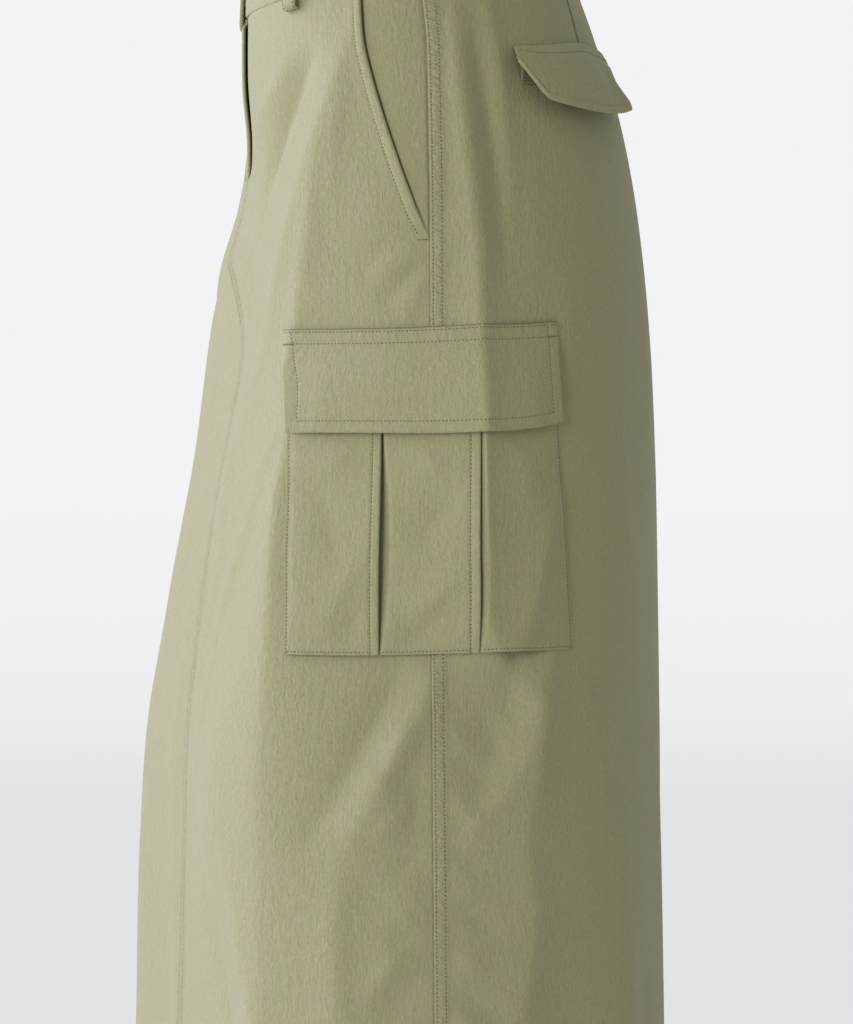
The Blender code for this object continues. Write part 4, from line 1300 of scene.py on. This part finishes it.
def cargoFlap(side):
    # flat at its sewn top, standing off over the bag below, a little less at its ends
    depth = cargo["flapDepth"]
    rowsAt = (0.0019, 0.0086, depth - cargo["endRow"])  # the two upper rows of stitches and the lowest one
    edge = np.array([0, 0.0003, 0.0007, 0.0012, 0.0022, 0.0036, 0.0050, 0.0058, 0.0064, 0.0070, 0.0080])
    topEdge = [0, 0.0004, 0.0008, 0.0013, 0.0019, 0.0025, 0.0040, 0.0060, 0.0078, 0.0086, 0.0094, 0.0106]
    below = np.concatenate([topEdge, np.linspace(0.0126, depth - 0.0095, 26), depth - edge[::-1]])[:, None]
    fall = below / depth
    stand = cargo["flapStand"] * ramp(below, *cargo["standRamp"]) + 0.0008 * fall
    straight = stand - stand[-1] * fall  # keeps the ends straight while they stand off
    front = between(cargo["flapEnds"], fall, 0) + cargo["straight"][0] * straight
    back = between(cargo["flapEnds"], fall, 1) - cargo["straight"][1] * straight
    wider = 1 + 0.5 * (1 - fall)  # the front end's stitches stand further in at the top
    inner = front + 0.008 * wider + (back - front - 0.008 * wider - 0.008) * shares(92)[:, :-1]
    arc = np.concatenate([front + edge * wider, inner, back - edge[::-1]], axis=1)
    fromEnd = np.minimum((arc - front) / wider, back - arc)
    share = np.clip((arc - front) / (back - front), 0, 1)
    lift = 0.0017 + stand * (0.60 + 0.40 * ease(fromEnd / 0.022))
    lift = lift + groove(below, rowsAt[0]) + groove(below, rowsAt[1], 0.0004, 0.0010)
    framed = ramp(below, 0.0005, 0.001) * ease((depth - 0.0058 - below) / 0.001)
    lift = lift + framed * groove(fromEnd, cargo["endRow"])
    lift = lift + ramp(fromEnd, 0.0058, 0.001) * groove(rowsAt[2], below)
    lift = lift - 0.0004 * np.exp(-fromEnd / 0.0006) - 0.0004 * np.exp(-(depth - below) / 0.0006)
    ripple = np.sin(arc * 700 + 2 * np.sin(arc * 90)) * np.sin(arc * 260 + 1)
    lift = lift + 0.00025 * ripple * bell(below - 0.0042, 0.0022)
    upper, lower = cargo["sag"]
    sag = (upper + (lower - upper) * fall) * np.sin(math.pi * share**2)
    rise = cargo["topRise"] + (cargo["rise"] - cargo["topRise"]) * fall
    level = cargo["top"] - below + rise * share - sag
    points = place(side, arc, level, lift, ("broad",))
    pucker = 0.7 * bell(below - rowsAt[0], 0.0016) + 0.6 * bell(below - rowsAt[1], 0.0020)
    pucker = pucker + 0.3 * bell(rowsAt[2] - below, 0.002) + 0.25 * bell(fromEnd - 0.0035, 0.003)
    # a painted shadow line along the sewn top edge
    deep = 0.8 * (1 - ramp(below, 0.0002, 0.0005))
    uv, thickness = (arc, level, 24 + side, 0), cargo["flapThickness"]
    sheet(named("cargo_flap", side), points, uv, thickness, cargo["flapFlat"], pucker=pucker, deep=deep)
    group = named("cargo_flap_stitches", side)
    up, lower, end = (int(np.abs(below[:, 0] - at).argmin()) for at in rowsAt)
    first, last = 8, arc.shape[1] - 9
    runs = [(up, slice(2, -2)), (lower, slice(2, -2)), (end, slice(first, last + 1))]
    runs += [(slice(up, end + 1), column) for column in (first, last)]
    keepRuns(group, points, thickness, runs)
    normals = outwardNormals(points)
    for span in (slice(2, 10), slice(-10, -2)):
        tack = points[lower, span] * 0.4 + points[lower + 1, span] * 0.6
        keepStitches(group, tack, normals[lower, span], thickness, stitching["tackPitch"])
    makeStitches(group)


for side in (1, -1):
    cargoBag(side)
    cargoFlap(side)
print("skirt: cargo pockets ready")

backPocket = {
    "start": 0.0520,
    "width": 0.1230,
    "top": -0.0697,
    "depth": 0.0340,
    "belly": 0.0062,
    "end": 0.0100,
    "cut": 0.0140,
    "thickness": 0.0016,
    "flat": (0.123, 0.0402),
    "stitchRow": 0.0066,
    "standOff": (0.0018, 0.0116),  # lift at its top, and how much more at its corners' depth
    "fallLate": (0.055, 0.030),  # from this width on and over this width it stands off lower down
    "ridgeAt": (0.0850, 0.0005),
    "ridge": (0.0020, 0.004),
    "pastRidge": 0.0026,
    "weltThickness": 0.0010,
    "weltFlat": (0.115, 0.016),
}


def backWelt(side):
    # a strip under the flap, a little proud of the panel, with a row of stitches below it
    along = backPocket["start"] + 0.004 + np.linspace(0, backPocket["width"] - 0.008, 60)[None, :]
    drop = np.array([0.005, 0.0054, 0.006, 0.009, 0.012, 0.016, 0.0175, 0.0182, 0.0186, 0.019])[:, None]
    lift = 0.0016 + 0.0004 * np.sin(math.pi * (drop - 0.005) / 0.014)
    points = place(side, along, backPocket["top"] - drop, lift)
    uv = (along, -drop, 28 + side, 0)
    thickness, flat = backPocket["weltThickness"], backPocket["weltFlat"]
    # painted shade over the whole welt, which lies under the flap
    sheet(named("back_welt", side), points, uv, thickness, flat, deep=0.55)
    group = named("back_flap_stitches", side)
    keepStitchesOn(group, side, along[0], backPocket["top"] - 0.0212, 0.0002, panels["thickness"])


def backFlap(side):
    # depth by column: short ends, cut-off corners and a low middle; it stands off as below / depth to the 0.7
    cut, width = backPocket["cut"], backPocket["width"]
    edge = np.array([0, 0.0003, 0.0007, 0.0013, 0.0022, 0.0032])
    cornered = np.concatenate([edge, np.linspace(0.0045, cut + 0.004, 16)])
    middle = np.linspace(cut + 0.006, width - cut - 0.006, 56)
    columns = np.concatenate([cornered, middle, width - cornered[::-1]])[None, :]
    inward = np.minimum(columns, width - columns)
    belly = backPocket["belly"] * np.sin(math.pi * np.clip((inward - cut) / (width - 2 * cut), 0, 0.5))
    slant = inward / cut
    slant = (slant + 1 - np.sqrt((slant - 1) ** 2 + 0.03)) / 2  # the corners are a little rounded
    depth = backPocket["end"] + (backPocket["depth"] - backPocket["end"]) * slant + belly
    edgeSteps = np.array([0, 0.25, 0.6, 1.1, 1.6, 2.2, 2.8, 3.4, 4.0, 4.8])[:, None] / 1000
    rows = np.linspace(0, 1, 22)[:, None]
    topSteps = np.array([0, 0.0004, 0.0010, 0.0018])[:, None] + 0 * depth
    inner = 0.0030 + (depth - 0.0030 - 0.0056) * rows
    below = np.concatenate([topSteps, inner, depth - edgeSteps[::-1]])
    fromEdge = depth - below
    late = ramp(columns, *backPocket["fallLate"])
    fall = below / backPocket["depth"]
    flush, more = backPocket["standOff"]
    lift = flush + more * (fall**0.7 * (1 - late) + fall**1.25 * late)
    lift = lift + 0.0016 * bell(columns - 0.100, 0.014) * fall**4
    lift = lift + groove(below, backPocket["stitchRow"], 0.0004, 0.0010)
    lift = lift + groove(fromEdge, 0.0036, 0.0007, 0.0009) + 0.0003 * bell(fromEdge - 0.0018, 0.0012)
    lift = lift - 0.0007 * np.exp(-fromEdge / 0.0005)
    turnAt = backPocket["ridgeAt"][0] + backPocket["ridgeAt"][1] * fall  # past it the flap falls back
    height, spread = backPocket["ridge"]
    lift = lift + height * np.exp(-np.abs(columns - turnAt) / spread) * ramp(below, 0.006, 0.012)
    lift = lift - backPocket["pastRidge"] * ramp(columns, turnAt, 0.016) * ramp(below, 0.004, 0.016)
    arc = backPocket["start"] + columns
    down = np.clip(below / 0.036, 0, 1)
    rise = 0.0028 * bell(columns - 0.066, 0.030) * (1 - 0.9 * down)
    rise = rise + 0.0022 * ramp(columns, 0.078, 0.025) * down
    points = place(side, arc, backPocket["top"] - below + rise, lift, ("broad",))
    uv = (arc, -below, 32 + side, 0)
    pucker = 0.5 * bell(below - 0.004, 0.003) + 0.6 * bell(fromEdge - 0.0018, 0.0022)
    # a painted shadow line along the sewn top edge
    deep = 0.7 * (1 - ramp(below, 0.0001, 0.0005))
    name, flat = named("back_flap", side), backPocket["flat"]
    sheet(name, points, uv, backPocket["thickness"], flat, pucker=pucker, deep=deep)
    group = named("back_flap_stitches", side)
    row = int(np.abs(below[:, 40] - backPocket["stitchRow"]).argmin())
    keepRuns(group, points, backPocket["thickness"], [(row, slice(3, -3))])
    makeStitches(group)


for side in (1, -1):
    backWelt(side)
    backFlap(side)
print("skirt: back pockets ready")

studio = {
    "ambient": (0.95, 0.96, 0.95),
    "ambientStrength": 0.435,
    "floorLevel": -1.06,
    "floorRadius": 2.9,
    "aim": (0, 0, -0.4),
    "lights": (  # name, place, size, power, colour
        ("key", (-0.85, -3.10, 0.90), (2.4, 2.6), 113.0, (0.955, 0.965, 1.30)),
        ("side", (2.45, -2.05, 0.2), (1.4, 2.0), 51.0, (1.0, 1.0, 1.02)),
        ("back", (0.3, 3.1, -0.3), (2.0, 2.2), 9.0, (1.0, 1.0, 1.0)),
    ),
    "domeRadius": 20.0,
    "domeColours": (  # height on the far wall, sRGB pale grey there
        (-1.90, (225, 227, 230)),
        (-1.35, (238, 238, 240)),
        (-0.30, (243, 243, 245)),
    ),
}


def linear(colour):
    # sRGB 0 to 255 to linear light
    c = np.array(colour) / 255
    return tuple(np.where(c <= 0.04045, c / 12.92, ((c + 0.055) / 1.055) ** 2.4))


def areaLight(name, location, size, power, colour):
    data = bpy.data.lights.new(name, "AREA")
    data.shape = "RECTANGLE"
    data.size, data.size_y = size
    data.energy = power
    data.color = colour
    light = bpy.data.objects.new(name, data)
    light.location = location
    light.rotation_euler = (Vector(studio["aim"]) - Vector(location)).to_track_quat("-Z", "Y").to_euler()
    bpy.context.scene.collection.objects.link(light)


def spun(name, radius, height, count, surfaceMaterial):
    # a profile of radii and heights turned about the vertical axis
    turn = np.linspace(0, 2 * math.pi, count, endpoint=False)[None, :]
    radius, height = np.array([radius, height], float)[..., None]
    points = np.stack([radius * np.cos(turn), radius * np.sin(turn), height + 0 * turn], -1)
    thing = addMesh(name, points, gridFaces(len(radius), count, closed=True), surfaceMaterial)
    return thing


def makeBackdrop():
    # a pale dome that only the camera sees, and a floor that fades out into it
    graph = Graph("paleBackdrop")
    there = graph.node("ShaderNodeTexCoord", out=3)
    height = graph.node("ShaderNodeSeparateXYZ", {}, {"Vector": there}, out=2)
    low, high = studio["domeColours"][0][0], studio["domeColours"][-1][0]
    stops = [((h - low) / (high - low), linear(c)) for h, c in studio["domeColours"]]
    colour = graph.node("ShaderNodeValToRGB", {"stops": stops}, {"Fac": (height - low) * (1 / (high - low))})
    graph.shade(Base_Color=(0, 0, 0, 1), Emission_Color=colour, Emission_Strength=1.0, Specular_IOR_Level=0.0)
    tilt = np.linspace(-math.pi / 2 + 0.002, math.pi / 2 - 0.002, 60)
    radius = studio["domeRadius"]
    dome = spun("backdrop", radius * np.cos(tilt), radius * np.sin(tilt), 96, graph.material)
    dome.visible_diffuse = dome.visible_glossy = dome.visible_transmission = dome.visible_shadow = False

    graph = Graph("paleFloor")
    there = graph.node("ShaderNodeTexCoord", out=3)
    flat = graph.node("ShaderNodeVectorMath", {"operation": "MULTIPLY"}, {0: there, 1: (1, 1, 0)})
    away = graph.node("ShaderNodeVectorMath", {"operation": "LENGTH"}, {0: flat}, out=1)
    ends = {"Value": away, "From Min": 0.9, "From Max": studio["floorRadius"], "To Min": 1.0, "To Max": 0.0}
    fade = graph.node("ShaderNodeMapRange", {"interpolation_type": "SMOOTHSTEP"}, ends)
    graph.shade(Base_Color=(0.80, 0.81, 0.82, 1), Roughness=0.8, Alpha=fade)
    radii = (0.0001, 0.5, 1.0, 2.0, studio["floorRadius"])
    spun("floor", radii, (studio["floorLevel"],) * len(radii), 64, graph.material)


def makeStudio():
    bpy.context.scene.view_settings.view_transform = "Standard"
    world = bpy.data.worlds.new("studio")
    world.use_nodes = True
    back = world.node_tree.nodes["Background"]
    back.inputs["Color"].default_value = (*studio["ambient"], 1)
    back.inputs["Strength"].default_value = studio["ambientStrength"]
    bpy.context.scene.world = world
    for light in studio["lights"]:
        areaLight(*light)
    makeBackdrop()


makeStudio()
print("skirt: studio ready")

print("skirt: done")
